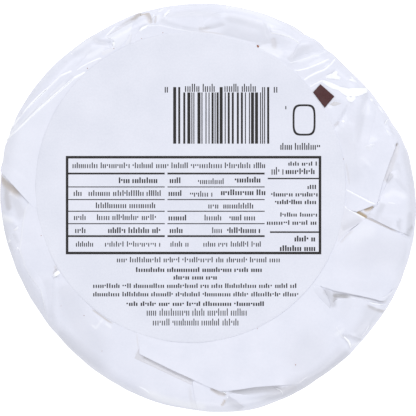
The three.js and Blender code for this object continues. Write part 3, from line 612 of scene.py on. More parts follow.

# Sheets of the wrapper that lie over the skin: name, look, rails. Each is ruled between its
# rails, polylines of (x, y, height over the skin) that run the same way. Its edges are the
# first and last rails, the start and the end. A free edge is rolled, with air under it. An
# edge with a breadth is a crease that falls to the skin over it, with a painted white glint
# along it as strong as the bright share. Any other edge is tucked into the skin. Dark and
# brown are grey and warm painted shade at its start and end, or all over, gleam is a painted
# highlight, and sink is the share of the hollows' depth it follows.
sheets = [
    ("leftPleat", {"first": "free", "last": 0.8, "gleam": (0.15, 0)},
     [(-55.4, 11.4, 0.3), (-54.1, 9.7, 0.42), (-52.8, 8.2, 0.48), (-50.7, 5.7, 0.5), (-48.1, 2.8, 0.42),
      (-46.5, 1, 0.28), (-45.2, -0.3, 0.14), (-43.4, -2.1, 0.02)],
     [(-55.9, 13.3, 0.1), (-53.6, 12.5, 0.15), (-49.6, 9.7, 0.15), (-45.5, 6, 0.1), (-42.9, 3.1, 0.03)],
     [(-55.9, 14.1, 0.15), (-52.7, 17.2, 0.26), (-49.1, 21, 0.28), (-46, 24.2, 0.3), (-42.9, 27.1, 0.3),
      (-39.7, 29.9, 0.3), (-36.6, 32.7, 0.32), (-34.8, 34.4, 0.28), (-33.4, 35.1, 0.2),
      (-31.4, 36.1, 0.03)]),
    ("leftStrip", {"first": "free", "last": 0.45, "bright": 0.9},
     [(-51.7, 18.6, 0.02), (-48.1, 22.6, 0.04), (-42.6, 28.4, 0.05), (-38.1, 33.1, 0.04),
      (-35.3, 35.9, 0.02)],
     [(-52.3, 20, 0.1), (-51.2, 21.2, 0.22), (-48.6, 24.6, 0.26), (-43.9, 29.5, 0.26),
      (-38.7, 34.8, 0.26), (-37.1, 35.5, 0.2), (-35.3, 36.2, 0.05)]),
    ("labelStrip", {"last": 0.35, "brown": (0, 0.02), "gleam": 0.1},
     [(-32.4, 35.5, 0), (-30.3, 37, 0.02), (-27.4, 38.7, 0.02)],
     [(-34.8, 35.8, 0.06), (-32.7, 37.3, 0.12), (-30.8, 38.3, 0.12), (-28.7, 39.2, 0.08),
      (-27.4, 39.5, 0.02)]),
    ("brownPatch", {"last": 0.2, "bright": 0, "brown": (0.07, 0.05), "gleam": 0.25},
     [(-28, 39.1, 0.03), (-25.6, 40.2, 0.03), (-23.8, 41.2, 0.03)],
     [(-28.2, 40.8, 0.06), (-26.1, 41.5, 0.08), (-24.4, 42.5, 0.08)]),
    ("topLeftFacet", {"first": 0.3, "bright": 0.7, "gleam": 0.3},
     [(-27.2, 44.7, 0.12), (-25.9, 44.3, 0.3), (-24.8, 43.8, 0.35), (-24.5, 42.9, 0.3),
      (-24.8, 41.9, 0.12)],
     [(-19.3, 49.4, 0.05), (-19.6, 47.3, 0.06), (-20.1, 45.7, 0.06), (-21.4, 43.6, 0.04),
      (-23.5, 41.5, 0.02)]),
    ("brownStrip", {"dark": (0.06, 0.2), "brown": (0.04, 0.1), "sink": 1},
     [(-26.9, 44.6, 0.05), (-23.8, 46.3, 0.06), (-20.9, 47.6, 0.06), (-19.3, 49.3, 0.05)],
     [(-26.4, 45.3, 0.05), (-23.5, 47.6, 0.1), (-20.4, 49.5, 0.1), (-18, 50.8, 0.05)]),
    ("sliver", {"first": "free", "brown": (0.04, 0.02), "gleam": 0.2},
     [(-22.1, 42.2, 0.03), (-20.9, 44.4, 0.12), (-20.1, 46.3, 0.14)],
     [(-20.6, 42.3, 0.02), (-20, 43.6, 0.03), (-19.6, 45.7, 0.05)]),
    ("topBand", {"last": 0.36, "bright": 0.3},
     [(-20.9, 41.5, 0), (-18.3, 43.4, 0), (-15.2, 44.6, 0), (-11.2, 45.2, 0), (-4.7, 45.1, 0),
      (1.8, 44.2, 0), (8.4, 42.3, 0), (14.1, 40.5, 0)],
     [(-19.3, 44.9, 0.03), (-18, 46.3, 0.17), (-16.9, 47.2, 0.26), (-15.7, 47.8, 0.26), (-12.5, 48, 0.2),
      (-8.6, 47, 0.19), (-4.7, 46.3, 0.17), (1.8, 45.6, 0.15), (8.4, 43.6, 0.12), (13.1, 42.3, 0.08),
      (15.2, 41.3, 0)]),
    ("oliveArch", {"first": "free", "dark": 0.1, "brown": (0.5, 0.25)},
     [(-18, 51, 0.1), (-16.7, 51.3, 0.15), (-15.3, 51.1, 0.15), (-14.7, 49.6, 0.1), (-14.5, 48.1, 0.05)],
     [(-17.6, 50.3, 0.02), (-16.6, 50.4, 0.03), (-15.9, 49.9, 0.03), (-15.7, 49, 0.03),
      (-15.4, 47.9, 0.03)]),
    ("brownSlat", {"first": "free", "dark": 0.1, "brown": 0.18},
     [(-14.2, 47.9, 0.05), (-14, 49.1, 0.12), (-13.6, 50.4, 0.1)],
     [(-13.2, 47.9, 0.03), (-13.1, 49.1, 0.04), (-12.9, 50.4, 0.03)]),
    ("topSlope", {},
     [(-13.1, 47.8, 0), (-11.2, 47.9, 0.03), (-8.6, 47.4, 0.05), (-4.7, 46.6, 0.07), (-1.3, 46.4, 0)],
     [(-13.1, 51, 0), (-10.5, 50.8, 0.05), (-7.3, 50.6, 0.06), (-4.2, 50.2, 0.06), (-1, 48.6, 0.03)],
     [(-13.1, 52.5, 0), (-9.9, 53.2, 0.07), (-6.8, 53.4, 0.08), (-3.7, 53.3, 0.07), (-0.5, 52.5, 0)]),
    ("topFacet", {},
     [(-2.1, 46.3, 0.02), (1.8, 45.9, 0.04), (5.2, 44.9, 0.05), (8.9, 43.9, 0.05), (13.1, 42.6, 0.03),
      (16.3, 42.9, 0.02)],
     [(-1.8, 46.6, 0.05), (1, 47.8, 0.06), (4.7, 49.1, 0.07), (6.3, 49.1, 0.07), (10.5, 49.1, 0.08),
      (14.9, 48.9, 0.09)],
     [(-1.3, 48.6, 0.05), (1.6, 51.2, 0.05), (5.7, 52.5, 0.06), (10.5, 52, 0.06), (15.4, 50.4, 0.06)]),
    ("arch", {"first": 0.3, "bright": 0.9},
     [(16.2, 45.7, 0.1), (17.2, 45.5, 0.3), (18.7, 45.3, 0.34), (20.6, 44.6, 0.34), (22.2, 44, 0.32),
      (23.4, 43.2, 0.28), (23.9, 42.3, 0.05)],
     [(15.7, 47.3, 0.15), (17, 47.3, 0.12), (19.3, 47, 0.06), (21.9, 46, 0.03), (24, 44.4, 0),
      (25.3, 42.6, -0.05)]),
    ("darkPatch", {},
     [(21, 38.3, 0.02), (23, 39.2, 0.03), (25.6, 40, 0.04), (28.7, 40.9, 0.04), (30.8, 41.5, 0.02)],
     [(23, 42.1, 0.1), (24, 42.7, 0.45), (26.1, 43.1, 0.55), (28.7, 43.1, 0.45), (30.8, 42.6, 0.2)],
     [(24, 43.9, 0), (25.6, 44.4, 0.05), (27.7, 44.4, 0.05), (29.8, 43.6, 0.03), (31.6, 42.3, 0)]),
    ("firstRidge", {"last": 0.3, "bright": 0.45},
     [(21.9, 36.3, 0.02), (24.8, 36.8, 0.03), (28.7, 38.7, 0.04), (32.1, 40, 0)],
     [(21, 37.9, 0.1), (23, 38.5, 0.18), (25.1, 39.2, 0.2), (27.2, 39.9, 0.18), (29.3, 40.5, 0.12),
      (31.1, 41.2, 0.02)]),
    ("secondRidge", {"last": 0.42},
     [(24.6, 33.7, 0.02), (27.2, 35.1, 0.04), (30, 36.5, 0.04), (32.1, 38.1, 0.03)],
     [(22.1, 36.2, 0.1), (23.5, 36.1, 0.22), (25, 36.5, 0.22), (25.6, 36.6, 0.08), (26.7, 37, 0.24),
      (29.3, 38.1, 0.26), (31.9, 39.3, 0.15)]),
    ("thirdRidge", {"last": 0.42},
     [(26.4, 31.9, 0.02), (28.7, 33.3, 0.04), (31.4, 34.5, 0.05), (34.5, 36.6, 0)],
     [(24.7, 33.4, 0.08), (26.4, 34.6, 0.22), (27.4, 35.1, 0.1), (28.7, 35.7, 0.14), (30.3, 36.3, 0.24),
      (32.1, 37.8, 0.27), (33.3, 39.3, 0.15)]),
    ("fourthRidge", {"last": 0.35, "bright": 0.7},
     [(27.4, 29.5, 0), (29.3, 30.8, 0.03), (31.1, 31.6, 0.04)],
     [(26.3, 31.6, 0.08), (27.7, 32.5, 0.18), (29.3, 33.3, 0.18), (30.3, 33.6, 0.05)]),
    ("brownShard", {"dark": (0.4, 0.2), "brown": (0.25, 0.1)},
     [(31.6, 26.4, 0.03), (32.9, 26.2, 0.03), (34.5, 26.8, 0.03)],
     [(31.5, 27.4, 0.05), (33.4, 28.1, 0.06), (35.8, 27.6, 0.03)]),
    ("rightSheet", {"first": "free"},
     [(50.2, 20.1, 0), (49.3, 17, 0.2), (47.5, 12, 0.22), (45.6, 6.5, 0.26), (44.4, 1.8, 0.24),
      (43.8, -0.3, 0.12)],
     [(47, 20.9, 0), (46, 17.2, 0.1), (44.7, 12.5, 0.14), (43.1, 7.3, 0.12), (41.5, 2.1, 0.1)],
     [(32.9, 21.2, 0), (34, 17.8, 0.04), (35, 13.8, 0.04), (35.5, 8.6, 0.03), (35.8, 4.2, 0.03)]),
    ("rimFolds", {"first": "free"},
     [(41.4, -2, 0.22), (44.9, -3.8, 0.28), (48.1, -5.4, 0.28), (50.2, -6.3, 0.24), (53.6, -7.8, 0.1)],
     [(42.3, -0.8, 0.2), (45.5, -1.3, 0.2), (48.6, -1.8, 0.2), (51, -1.8, 0.15), (53.6, -1, 0.05)],
     [(44.3, 1.2, 0.35), (47, 1.1, 0.5), (49.6, 0.9, 0.5), (51.7, 1.6, 0.3), (53.3, 2.6, 0.05)],
     [(44.9, 2.9, 0.02), (46.5, 4.2, 0.02), (48.1, 5.1, 0.03), (50.7, 4.2, 0.03), (53.3, 3, 0)],
     [(46, 5.2, 0.1), (48.1, 8.1, 0.42), (49.9, 7.3, 0.38), (53, 3.9, 0.1)],
     [(47.6, 9.4, 0), (49.6, 10.5, 0), (51.7, 8.4, 0), (53.6, 4.7, 0)]),
    ("pointedLip", {"first": "free", "last": 0.42},
     [(35.8, 0.1, 0.15), (37.4, -0.7, 0.26), (38.9, -1, 0.32), (41.3, -0.1, 0.36), (44, 1, 0.34)],
     [(35.8, 5.2, 0.1), (37.9, 4.1, 0.3), (40.2, 2.9, 0.36), (42.3, 1.8, 0.38), (44.2, 1.2, 0.4)]),
    ("cornerLip", {"first": "free", "last": 0.4, "brown": (0, 0.08)},
     [(41.4, -3, 0.16), (39.2, -4.2, 0.14), (37.1, -5.7, 0.1), (35.3, -7.3, 0.07), (33.7, -9.4, 0.04)],
     [(41.2, -2.6, 0.25), (38.9, -1.3, 0.27), (37.1, -0.3, 0.22), (35.5, 0.7, 0.12), (34, 1.3, 0)]),
    ("rightFlap", {"first": "free", "last": "free"},
     [(26.9, -19.7, 0.02), (29.8, -20.6, 0.15), (32.9, -21.6, 0.3), (35.8, -22.2, 0.34),
      (38.7, -22.8, 0.32), (40.2, -23.1, 0.3), (41.8, -23.4, 0.28), (43.4, -23.8, 0.26),
      (44.9, -24.3, 0.26), (46, -24.2, 0.3), (47, -23.3, 0.32), (48.6, -21.4, 0.2), (50.4, -19.1, 0.05)],
     [(28.7, -16.5, 0.02), (31.4, -17.5, 0.08), (34.5, -18.3, 0.15), (37.6, -19.1, 0.2),
      (40.8, -19.9, 0.2), (43.6, -20.4, 0.2), (45.7, -19.9, 0.15), (47.6, -18.3, 0.1), (49.6, -15.7, 0)],
     [(31.4, -14.1, 0), (35.8, -14.1, 0.08), (41, -14.1, 0.1), (46.3, -13.6, 0.1), (51.7, -12.3, 0)],
     [(32.9, -11, 0.04), (34.8, -8.6, 0.1), (37.6, -5.6, 0.16), (39.7, -3.9, 0.18), (41.3, -2.7, 0.2),
      (45.2, -4.6, 0.15), (49.4, -6.5, 0.15), (53.3, -8.5, 0.05), (54.4, -9.1, 0)]),
    ("notchFold", {"first": "free", "dark": (0, 0.16)},
     [(28.7, -20, 0.1), (29.8, -20.8, 0.28), (30.6, -21.9, 0.34), (31.4, -23.5, 0.34), (32, -25.3, 0.25),
      (32.1, -26.5, 0.05)],
     [(26.7, -20.6, 0), (27.4, -21.9, 0), (28.5, -23.3, 0), (29.8, -24.7, 0), (31.1, -25.9, 0),
      (31.9, -26.9, 0)]),
    ("cavityLip", {"last": 0.4, "bright": 0},
     [(32.9, -27.2, 0), (35.8, -26.7, 0), (39.7, -26.1, 0), (41.8, -26.4, 0.05), (44.4, -27, 0.08),
      (47.6, -26.4, 0)],
     [(32.7, -24.8, 0.02), (33.4, -24, 0.1), (35.8, -23.5, 0.12), (38.7, -23.4, 0.12),
      (40.2, -23.7, 0.14), (41.8, -24.4, 0.22), (43.4, -25, 0.25), (44.9, -25.3, 0.25),
      (46.5, -25.3, 0.16), (47.6, -24.8, 0)]),
    ("bottomFlap", {"first": "free", "start": "free"},
     [(-18, -38.1, 0.26), (-17, -38.6, 0.34), (-12.5, -40.8, 0.38), (-8.4, -42.8, 0.38),
      (-4.2, -44.7, 0.34), (-0.8, -46.4, 0.2), (0.8, -47, 0.24), (2.9, -47.8, 0.28), (5.2, -47.8, 0.25),
      (8.4, -47.4, 0.3), (12.3, -46.8, 0.34), (16.2, -46.5, 0.28), (20.1, -46.3, 0.22), (24, -46.1, 0.08),
      (28, -45.9, 0)],
     [(-18, -35.3, 0.05), (-15.2, -36.3, 0.12), (-11.2, -37.9, 0.18), (-7.3, -39.5, 0.18),
      (-3.1, -41.3, 0.15), (1, -43.1, 0.12), (5.2, -43.9, 0.15), (9.7, -43.6, 0.15), (14.1, -42.9, 0.12),
      (18.8, -42.1, 0.05), (24, -41.3, 0)],
     [(-18.1, -32.4, 0.03), (-13.8, -33.7, 0.03), (-8.6, -34.8, 0.03), (-3.4, -34.9, 0.03),
      (1.8, -34.2, 0.03), (8.4, -32.7, 0.03), (14.1, -29.8, 0.02), (18.8, -26.7, 0)]),
    ("underLongEdge", {"first": "free", "start": "free", "dark": (0.2, 0.18), "brown": (0.12, 0.1),
                        "sink": 0.85},
     [(-19.3, -39.3, 0.03), (-15.2, -41.2, 0.03), (-9.9, -43.7, 0.03), (-4.6, -46.2, 0.03),
      (-3.7, -46.5, 0)],
     [(-17.9, -36.3, 0.02), (-15.2, -37.6, 0.02), (-9.9, -40, 0.02), (-4.7, -42.6, 0.02),
      (-3.1, -43.4, 0.02)],
     [(-17.8, -32.9, 0.01), (-15.2, -35.8, 0.02), (-9.9, -38.4, 0.02), (-4.7, -41, 0.02),
      (-3.1, -41.8, 0.02)]),
    ("downSeam", {"first": "free"},
     [(-4.1, -45.2, 0.2), (-3.8, -48.1, 0.16), (-3.3, -50.7, 0.16), (-2.7, -52.8, 0.1)],
     [(-0.8, -46.5, 0), (0, -48.9, 0), (1, -51, 0), (1.6, -52.5, 0)]),
    ("wedgeFlap", {"first": "free"},
     [(5, -48.9, 0.1), (7.3, -50.3, 0.22), (9.4, -51.5, 0.22), (11.5, -52.7, 0.1)],
     [(6.3, -48.3, 0), (9.7, -48.9, 0.04), (14.1, -48.9, 0.03), (18.8, -47.6, 0)]),
    ("lowRightShard", {"first": 0.3, "bright": 0.5},
     [(33.2, -30.8, 0.03), (34.8, -33.7, 0.2), (36.8, -34.8, 0.3), (37.6, -36.6, 0.2)],
     [(35.3, -29.3, 0.02), (37.1, -31.9, 0.03), (38.4, -33.4, 0.04), (40, -35, 0.05)]),
    ("lowLeftBand", {},
     [(-41, -18.8, 0.02), (-41.3, -25.3, 0.02), (-40.5, -31.9, 0.02)],
     [(-39.7, -18, 0.1), (-39.8, -24.8, 0.12), (-39.7, -31.6, 0.06)],
     [(-38.9, -18, 0.05), (-38.7, -24.6, 0.05), (-38.1, -31.6, 0.02)]),
    ("lowLeftRidge", {"first": 0.3, "bright": 0.5},
     [(-48.6, -14.1, 0.05), (-46.5, -18, 0.2), (-43.9, -21.4, 0.25), (-42.9, -25.3, 0.25),
      (-41.9, -29.8, 0.05)],
     [(-46.5, -13.1, 0.02), (-44.4, -16.7, 0.03), (-42.3, -20.4, 0.03), (-41.5, -24.8, 0.03),
      (-41, -29.8, 0.02)]),
    ("rightBand", {},
     [(39.2, 28.7, 0.02), (38.4, 23, 0.03), (37.6, 17.2, 0.03), (37.9, 12.5, 0.02)],
     [(42.3, 29.3, 0.15), (41.3, 23, 0.32), (40.2, 17.5, 0.34), (39.7, 13.1, 0.1)],
     [(44.4, 27.2, 0.02), (43.4, 21.7, 0.1), (42.3, 16.5, 0.1), (41, 12.5, 0.02)]),
    ("rightShard", {"gleam": 0.2},
     [(40, 15.9, 0.12), (41.3, 15.2, 0.12), (42.6, 13.8, 0.1)],
     [(40.2, 16.5, 0.3), (42.3, 16.9, 0.4), (44.2, 17.2, 0.25)]),
    ("leftTongue", {"first": 0.5, "bright": 0.3},
     [(-45.7, 3.1, 0.14), (-47, 1.3, 0.16), (-48.1, -0.5, 0.16), (-48.7, -4.4, 0.16), (-49.1, -8.4, 0.14),
      (-49.5, -11, 0.12), (-48.1, -14.9, 0.06), (-46.5, -18.3, 0)],
     [(-43.9, 2.1, 0.1), (-44.4, -1, 0.12), (-44.9, -5.2, 0.12), (-45.2, -9.1, 0.1), (-44.9, -12.5, 0.04),
      (-43.9, -16.2, 0)],
     [(-38.7, 2.1, 0.03), (-38.7, -1.8, 0.03), (-38.7, -5.7, 0.03), (-38.1, -9.7, 0.03),
      (-37.1, -13.1, 0.03), (-35.5, -16.2, 0)]),
]

sheetPaper = {
    "thickness": 0.08,
    "roll": 0.14,  # radius of a free edge
    "rollDrop": 0.7,  # share of that radius by which the edge drops
    "step": 0.45,  # spacing of its grid
    "close": [0.02, 0.05, 0.09, 0.14, 0.2, 0.3, 0.45, 0.7],  # extra rows beside an edge
    "closeUpTo": 0.45,  # share of the sheet up to which they go
    "sunk": 0.1,  # how far a tucked edge lies inside the skin
    "tuck": 0.8,
    "underLabel": 0.03,  # it is no higher than this where the label lies on it
    "labelReach": 1.5,  # and back to its full height this far outside
    "wallFade": (1.6, 0.2),  # down the wall it sinks in by smooth step of 1.6 * share - 0.2
    # the white of a creased edge is a painted glint
    "edgeGlintFade": (2, 1.6),  # a creased edge is white at 2, and 1.6 less for each breadth inwards
}


def shareAlong(rail):
    # share of a rail's length, seen from above, at each of its points, and that length
    spans = np.hypot(*np.diff(rail[:, :2], axis=0).T)
    return np.concatenate([[0.0], np.cumsum(spans)]) / spans.sum(), spans.sum()


def alongRail(rail, shares):
    # points of a rail at the given shares of its length
    travelled, _ = shareAlong(rail)
    return np.stack([np.interp(shares, travelled, column) for column in rail.T], axis=-1)


def sheetShares(length, closeAtStart, closeAtEnd):
    # shares from 0 to 1 at the sheet's step, with closer ones along a shaped edge
    shares = np.linspace(0, 1, max(3, math.ceil(length / sheetPaper["step"])))
    close = np.array(sheetPaper["close"]) / length
    close = close[close < sheetPaper["closeUpTo"]]
    parts = [shares] + [close] * closeAtStart + [1 - close] * closeAtEnd
    return np.unique(np.round(np.concatenate(parts), 5))


def sheetGrid(rails, shaped):
    # places and heights between the rails, shares along them, and the distance to each edge
    length = np.mean([shareAlong(rail)[1] for rail in rails])
    u = sheetShares(length, "start" in shaped, "end" in shaped)
    lines = [alongRail(rail, u) for rail in rails]
    strips = []
    for number, (low, high) in enumerate(zip(lines[:-1], lines[1:])):
        breadth = np.hypot(*(high - low)[:, :2].T).max()
        closeAtEnd = "last" in shaped and number == len(lines) - 2
        v = sheetShares(breadth, "first" in shaped and number == 0, closeAtEnd)
        strips.append(mix(low[:, None], high[:, None], v[None, (number > 0) :, None]))
    grid = np.concatenate(strips, axis=1)
    steps = np.hypot(*np.moveaxis(np.diff(grid[..., :2], axis=1), -1, 0))
    across = np.concatenate([np.zeros((len(u), 1)), np.cumsum(steps, axis=1)], axis=1)
    along = np.broadcast_to(u[:, None] * length, across.shape)
    edges = {"first": across, "last": across[:, -1:] - across, "start": along, "end": length - along}
    return *np.moveaxis(grid, -1, 0), u, edges


def makeSheet(name, look, rails):
    # heights: a free edge drops by drop * (roll - sqrt(roll^2 - (roll - distance)^2)), and any
    # other rises from the skin as sin(pi / 2 * distance / breadth)
    x, y, height, u, edges = sheetGrid([ontoSkin(rail) for rail in rails], look)
    roll, sunk, (white, fade) = (sheetPaper[key] for key in ("roll", "sunk", "edgeGlintFade"))
    edgeGlint = np.zeros_like(x)
    for edge, distance in edges.items():
        breadth = look.get(edge, sheetPaper["tuck"])
        if breadth == "free":
            rolled = np.clip(roll - distance, 0, None)
            height = height - (roll - np.sqrt(roll**2 - rolled**2)) * sheetPaper["rollDrop"]
            continue
        rise = np.sin(np.clip(distance / breadth, 0, 1) * math.pi / 2)
        height = mix(0.0 if edge in look else -sunk, height, rise)
        # a creased edge gets a painted white glint, fading inwards
        if edge in look:
            edgeGlint = np.maximum(edgeGlint, np.clip(white - fade * distance / breadth, 0, 1))
    if "sink" in look:
        height = height + look["sink"] * reliefOf(hollows, x, y)
    outside = labelDistance(x, y)
    pressed = np.minimum(height, sheetPaper["underLabel"])
    height = mix(pressed, height, smoothStep(outside / sheetPaper["labelReach"]))
    sinking, begun = sheetPaper["wallFade"]
    level = skinHeight(x, y) + mix(height, -sunk, smoothStep(wallShare(x, y) * sinking - begun))
    piece = slabFromGrid(name, onWheel(x, y, level), onWheel(x, y, level - sheetPaper["thickness"]))
    shares = shadeShares(x, y)
    # a sheet's own dark and brown are painted shade, its gleam a painted highlight
    for tone, key in (("shadow", "dark"), ("innerSideAndShade", "brown"), ("paintedGlint", "gleam")):
        amount = mix(*np.broadcast_to(look.get(key, 0), 2), u)
        shares[tone] = np.maximum(shares[tone], amount[:, None])
    shares["paintedGlint"] = np.maximum(shares["paintedGlint"], look.get("bright", 1) * edgeGlint) * (outside > 0)
    writeShares(piece, {tone: np.tile(share.ravel(), 2) for tone, share in shares.items()})
    return piece


# Small raised facets with a painted highlight: path, breadth in the middle, height, strength of the painted
# highlight.
glints = [
    ([(29.7, 33.3), (32.4, 31.9), (35.5, 30.8)], 1.4, 0.2, 0.9),
    ([(34, 31.4), (36.3, 30.2), (38.7, 30.2), (41.9, 30.8)], 2.3, 0.25, 1),
    ([(36.1, 29.3), (37.2, 28.1), (38.7, 29.1)], 1.3, 0.22, 1),
    ([(32.1, 33.8), (33.4, 35.3), (33.7, 35.9)], 1.3, 0.3, 0.9),
    ([(30.6, 34.2), (32.7, 34.5), (34.8, 33.8)], 1.4, 0.25, 0.9),
    ([(36.7, 33.6), (37.9, 33.3), (39.1, 32.9)], 0.6, 0.2, 0.8),
    ([(37.2, 34.5), (37.6, 34), (37.9, 33.3)], 0.4, 0.2, 0.8),
    ([(46.1, 21.6), (46.5, 22.5), (47.3, 23.3)], 0.5, 0.22, 0.7),
    ([(46.4, 20.8), (47.3, 19.3), (47.9, 18.6)], 0.6, 0.2, 0.35),
    ([(42.5, 28.9), (43.4, 27.8)], 0.8, 0.25, 0.8),
    ([(44.6, 27), (45.2, 26.1), (46, 24.7)], 0.35, 0.14, 0.6),
    ([(34.9, 22.3), (35.7, 23.1)], 0.8, 0.2, 1),
    ([(-18.2, 46), (-17, 47), (-15.4, 47.8)], 0.7, 0.36, 1),
    ([(-11.8, 49.8), (-10.7, 51), (-9.7, 52.1)], 0.7, 0.22, 0.8),
    ([(-13.1, 51), (-12, 51.9), (-11.2, 52.4)], 0.35, 0.14, 0.7),
    ([(-14.8, 49.6), (-14, 50.3), (-14.4, 50.8)], 0.4, 0.22, 0.8),
    ([(-25, 43.5), (-24.6, 43), (-24.7, 42.2)], 0.7, 0.42, 1),
    ([(-27, 44.7), (-25.6, 46.1), (-23.9, 47.8)], 0.35, 0.14, 0.8),
    ([(-35.9, 40.1), (-35.5, 40.7)], 0.6, 0.12, 1),
    ([(4.7, 52), (5.7, 53)], 0.4, 0.16, 0.8),
    ([(35.3, -33.4), (36.8, -34.9), (37.2, -36.6)], 0.6, 0.4, 1),
    ([(40.2, -33.7), (41.3, -32.1), (42.3, -30.3)], 0.35, 0.12, 0.35),
    ([(17.5, -47), (19.1, -47.7), (19.7, -49)], 0.3, 0.12, 0.6),
    ([(-40.4, -17.9), (-39.5, -17.1), (-38.5, -16.5)], 1.1, 0.35, 1),
    ([(-51.1, -5.9), (-50.2, -5.6), (-49.5, -4.7)], 0.6, 0.2, 0.6),
    ([(-50, -11.1), (-49.6, -10.1)], 0.5, 0.25, 0.6),
    ([(-52.4, -9.3), (-51.5, -8.1)], 0.5, 0.12, 0.6),
    ([(46.3, 1.3), (47.8, 1.2), (49.6, 1)], 0.45, 0.56, 1),
    ([(44.4, 1), (44.8, 2)], 0.4, 0.4, 0.8),
    ([(3.7, -47.8), (5, -48.7)], 0.3, 0.3, 0.8),
    ([(4.8, -49.4), (5.4, -49.8)], 0.5, 0.2, 1),
    ([(41.9, -24.5), (43.4, -25), (44.9, -25.2), (46, -25.2)], 0.35, 0.32, 1),
    ([(44.9, -23.6), (46.5, -23.1), (47.8, -22.1), (48.9, -20.9)], 0.6, 0.42, 0.2),
    ([(23.5, -46), (24.8, -44.9), (26.1, -43.9)], 0.4, 0.16, 0.35),
    ([(-18.3, -46.6), (-16.7, -47.4), (-15.2, -48.5)], 0.35, 0.12, 0.7),
    ([(-52.7, 17.2), (-51.2, 18.8), (-49.1, 21), (-46, 24.2), (-42.9, 27.1), (-39.7, 29.9), (-36.6, 32.7),
      (-34.8, 34.4)], 0.42, 0.44, 1),
    ([(-51.6, 20.4), (-50.4, 22.1), (-48.9, 24)], 0.45, 0.38, 0.9),
    ([(-48.6, 24.3), (-46.5, 26.8), (-44.9, 28.5), (-43.4, 30.1), (-41.8, 31.5)], 0.4, 0.5, 1),
]

glintShape = {
    "points": 7,
    "lowSide": 0.7,  # height of its right side, as a share of the left side's
    "ends": (0.12, 0.88),  # it starts and ends at these shares of a half wave
}


def stripRails(path, breadth, height):
    # two rails beside a path, half a breadth * sin(pi * share of a half wave) away from it
    share = np.linspace(0, 1, glintShape["points"])
    points = alongRail(np.array(path, float), share)
    ahead = np.gradient(points, axis=0)
    aside = np.stack([-ahead[:, 1], ahead[:, 0]], axis=-1) / np.hypot(*ahead.T)[:, None]
    aside = aside * breadth / 2 * np.sin(math.pi * mix(*glintShape["ends"], share))[:, None]
    rails = [(points - aside, glintShape["lowSide"] * height), (points + aside, height)]
    return [np.column_stack([side, np.full(len(side), level)]) for side, level in rails]


sheetPieces = [makeSheet(name, look, rails) for name, look, *rails in sheets]
for number, (path, breadth, height, gleam) in enumerate(glints):
    look = {"first": "free", "last": "free", "gleam": gleam}
    sheetPieces.append(makeSheet(f"glint{number + 1}", look, stripRails(path, breadth, height)))
print("sheets made:", sum(len(piece.data.polygons) for piece in sheetPieces), "faces")


def aboveLabel(x, y, above):
    # points above the label's upper side, whose edge stands up in places by height *
    # exp(-(turn / spread)^2), fading inwards over the reach
    angle = np.arctan2(y - label["centre"][1], x - label["centre"][0])
    lift = np.zeros_like(x)
    for direction, height, spread in label["lifts"]:
        lift += height * np.exp(-((turnFrom(angle, direction) / spread) ** 2))
    lift = lift * (1 - smoothStep(-labelDistance(x, y) / label["liftReach"]))
    lying = gatherHeight(x, y) + label["clearance"] + label["thickness"]
    return onWheel(x, y, lying + lift + above)


labelGrid = {
    "rings": 90,
    "underStep": 6,  # its underside has every sixth ring
    "columns": 420,
    "innerRadius": 0.4,
    "round": 0.02,  # of its cut edge
}


def makeLabel():
    # rings out over the top, round the cut edge and back under the sheet
    angle = np.arange(labelGrid["columns"]) / labelGrid["columns"] * 2 * math.pi
    heading = np.stack([np.cos(angle), np.sin(angle)], axis=-1)
    thickness, cut = label["thickness"], labelGrid["round"]
    radii = np.linspace(labelGrid["innerRadius"], label["radius"] - cut, labelGrid["rings"])
    steps = [(radius, 0.0) for radius in radii]
    steps += [(label["radius"], -cut), (label["radius"], cut - thickness)]
    steps += [(radius, -thickness) for radius in radii[:: -labelGrid["underStep"]]]
    middle = np.array(label["centre"])
    rows = [aboveLabel(*(middle + radius * heading).T, above) for radius, above in steps]
    poles = [aboveLabel(middle[:1], middle[1:], above)[0] for above in (0.0, -thickness)]
    return skinFromRows("roundPaperLabel", np.array(rows), *poles)


labelPiece = makeLabel()
print("label made:", len(labelPiece.data.polygons), "faces")

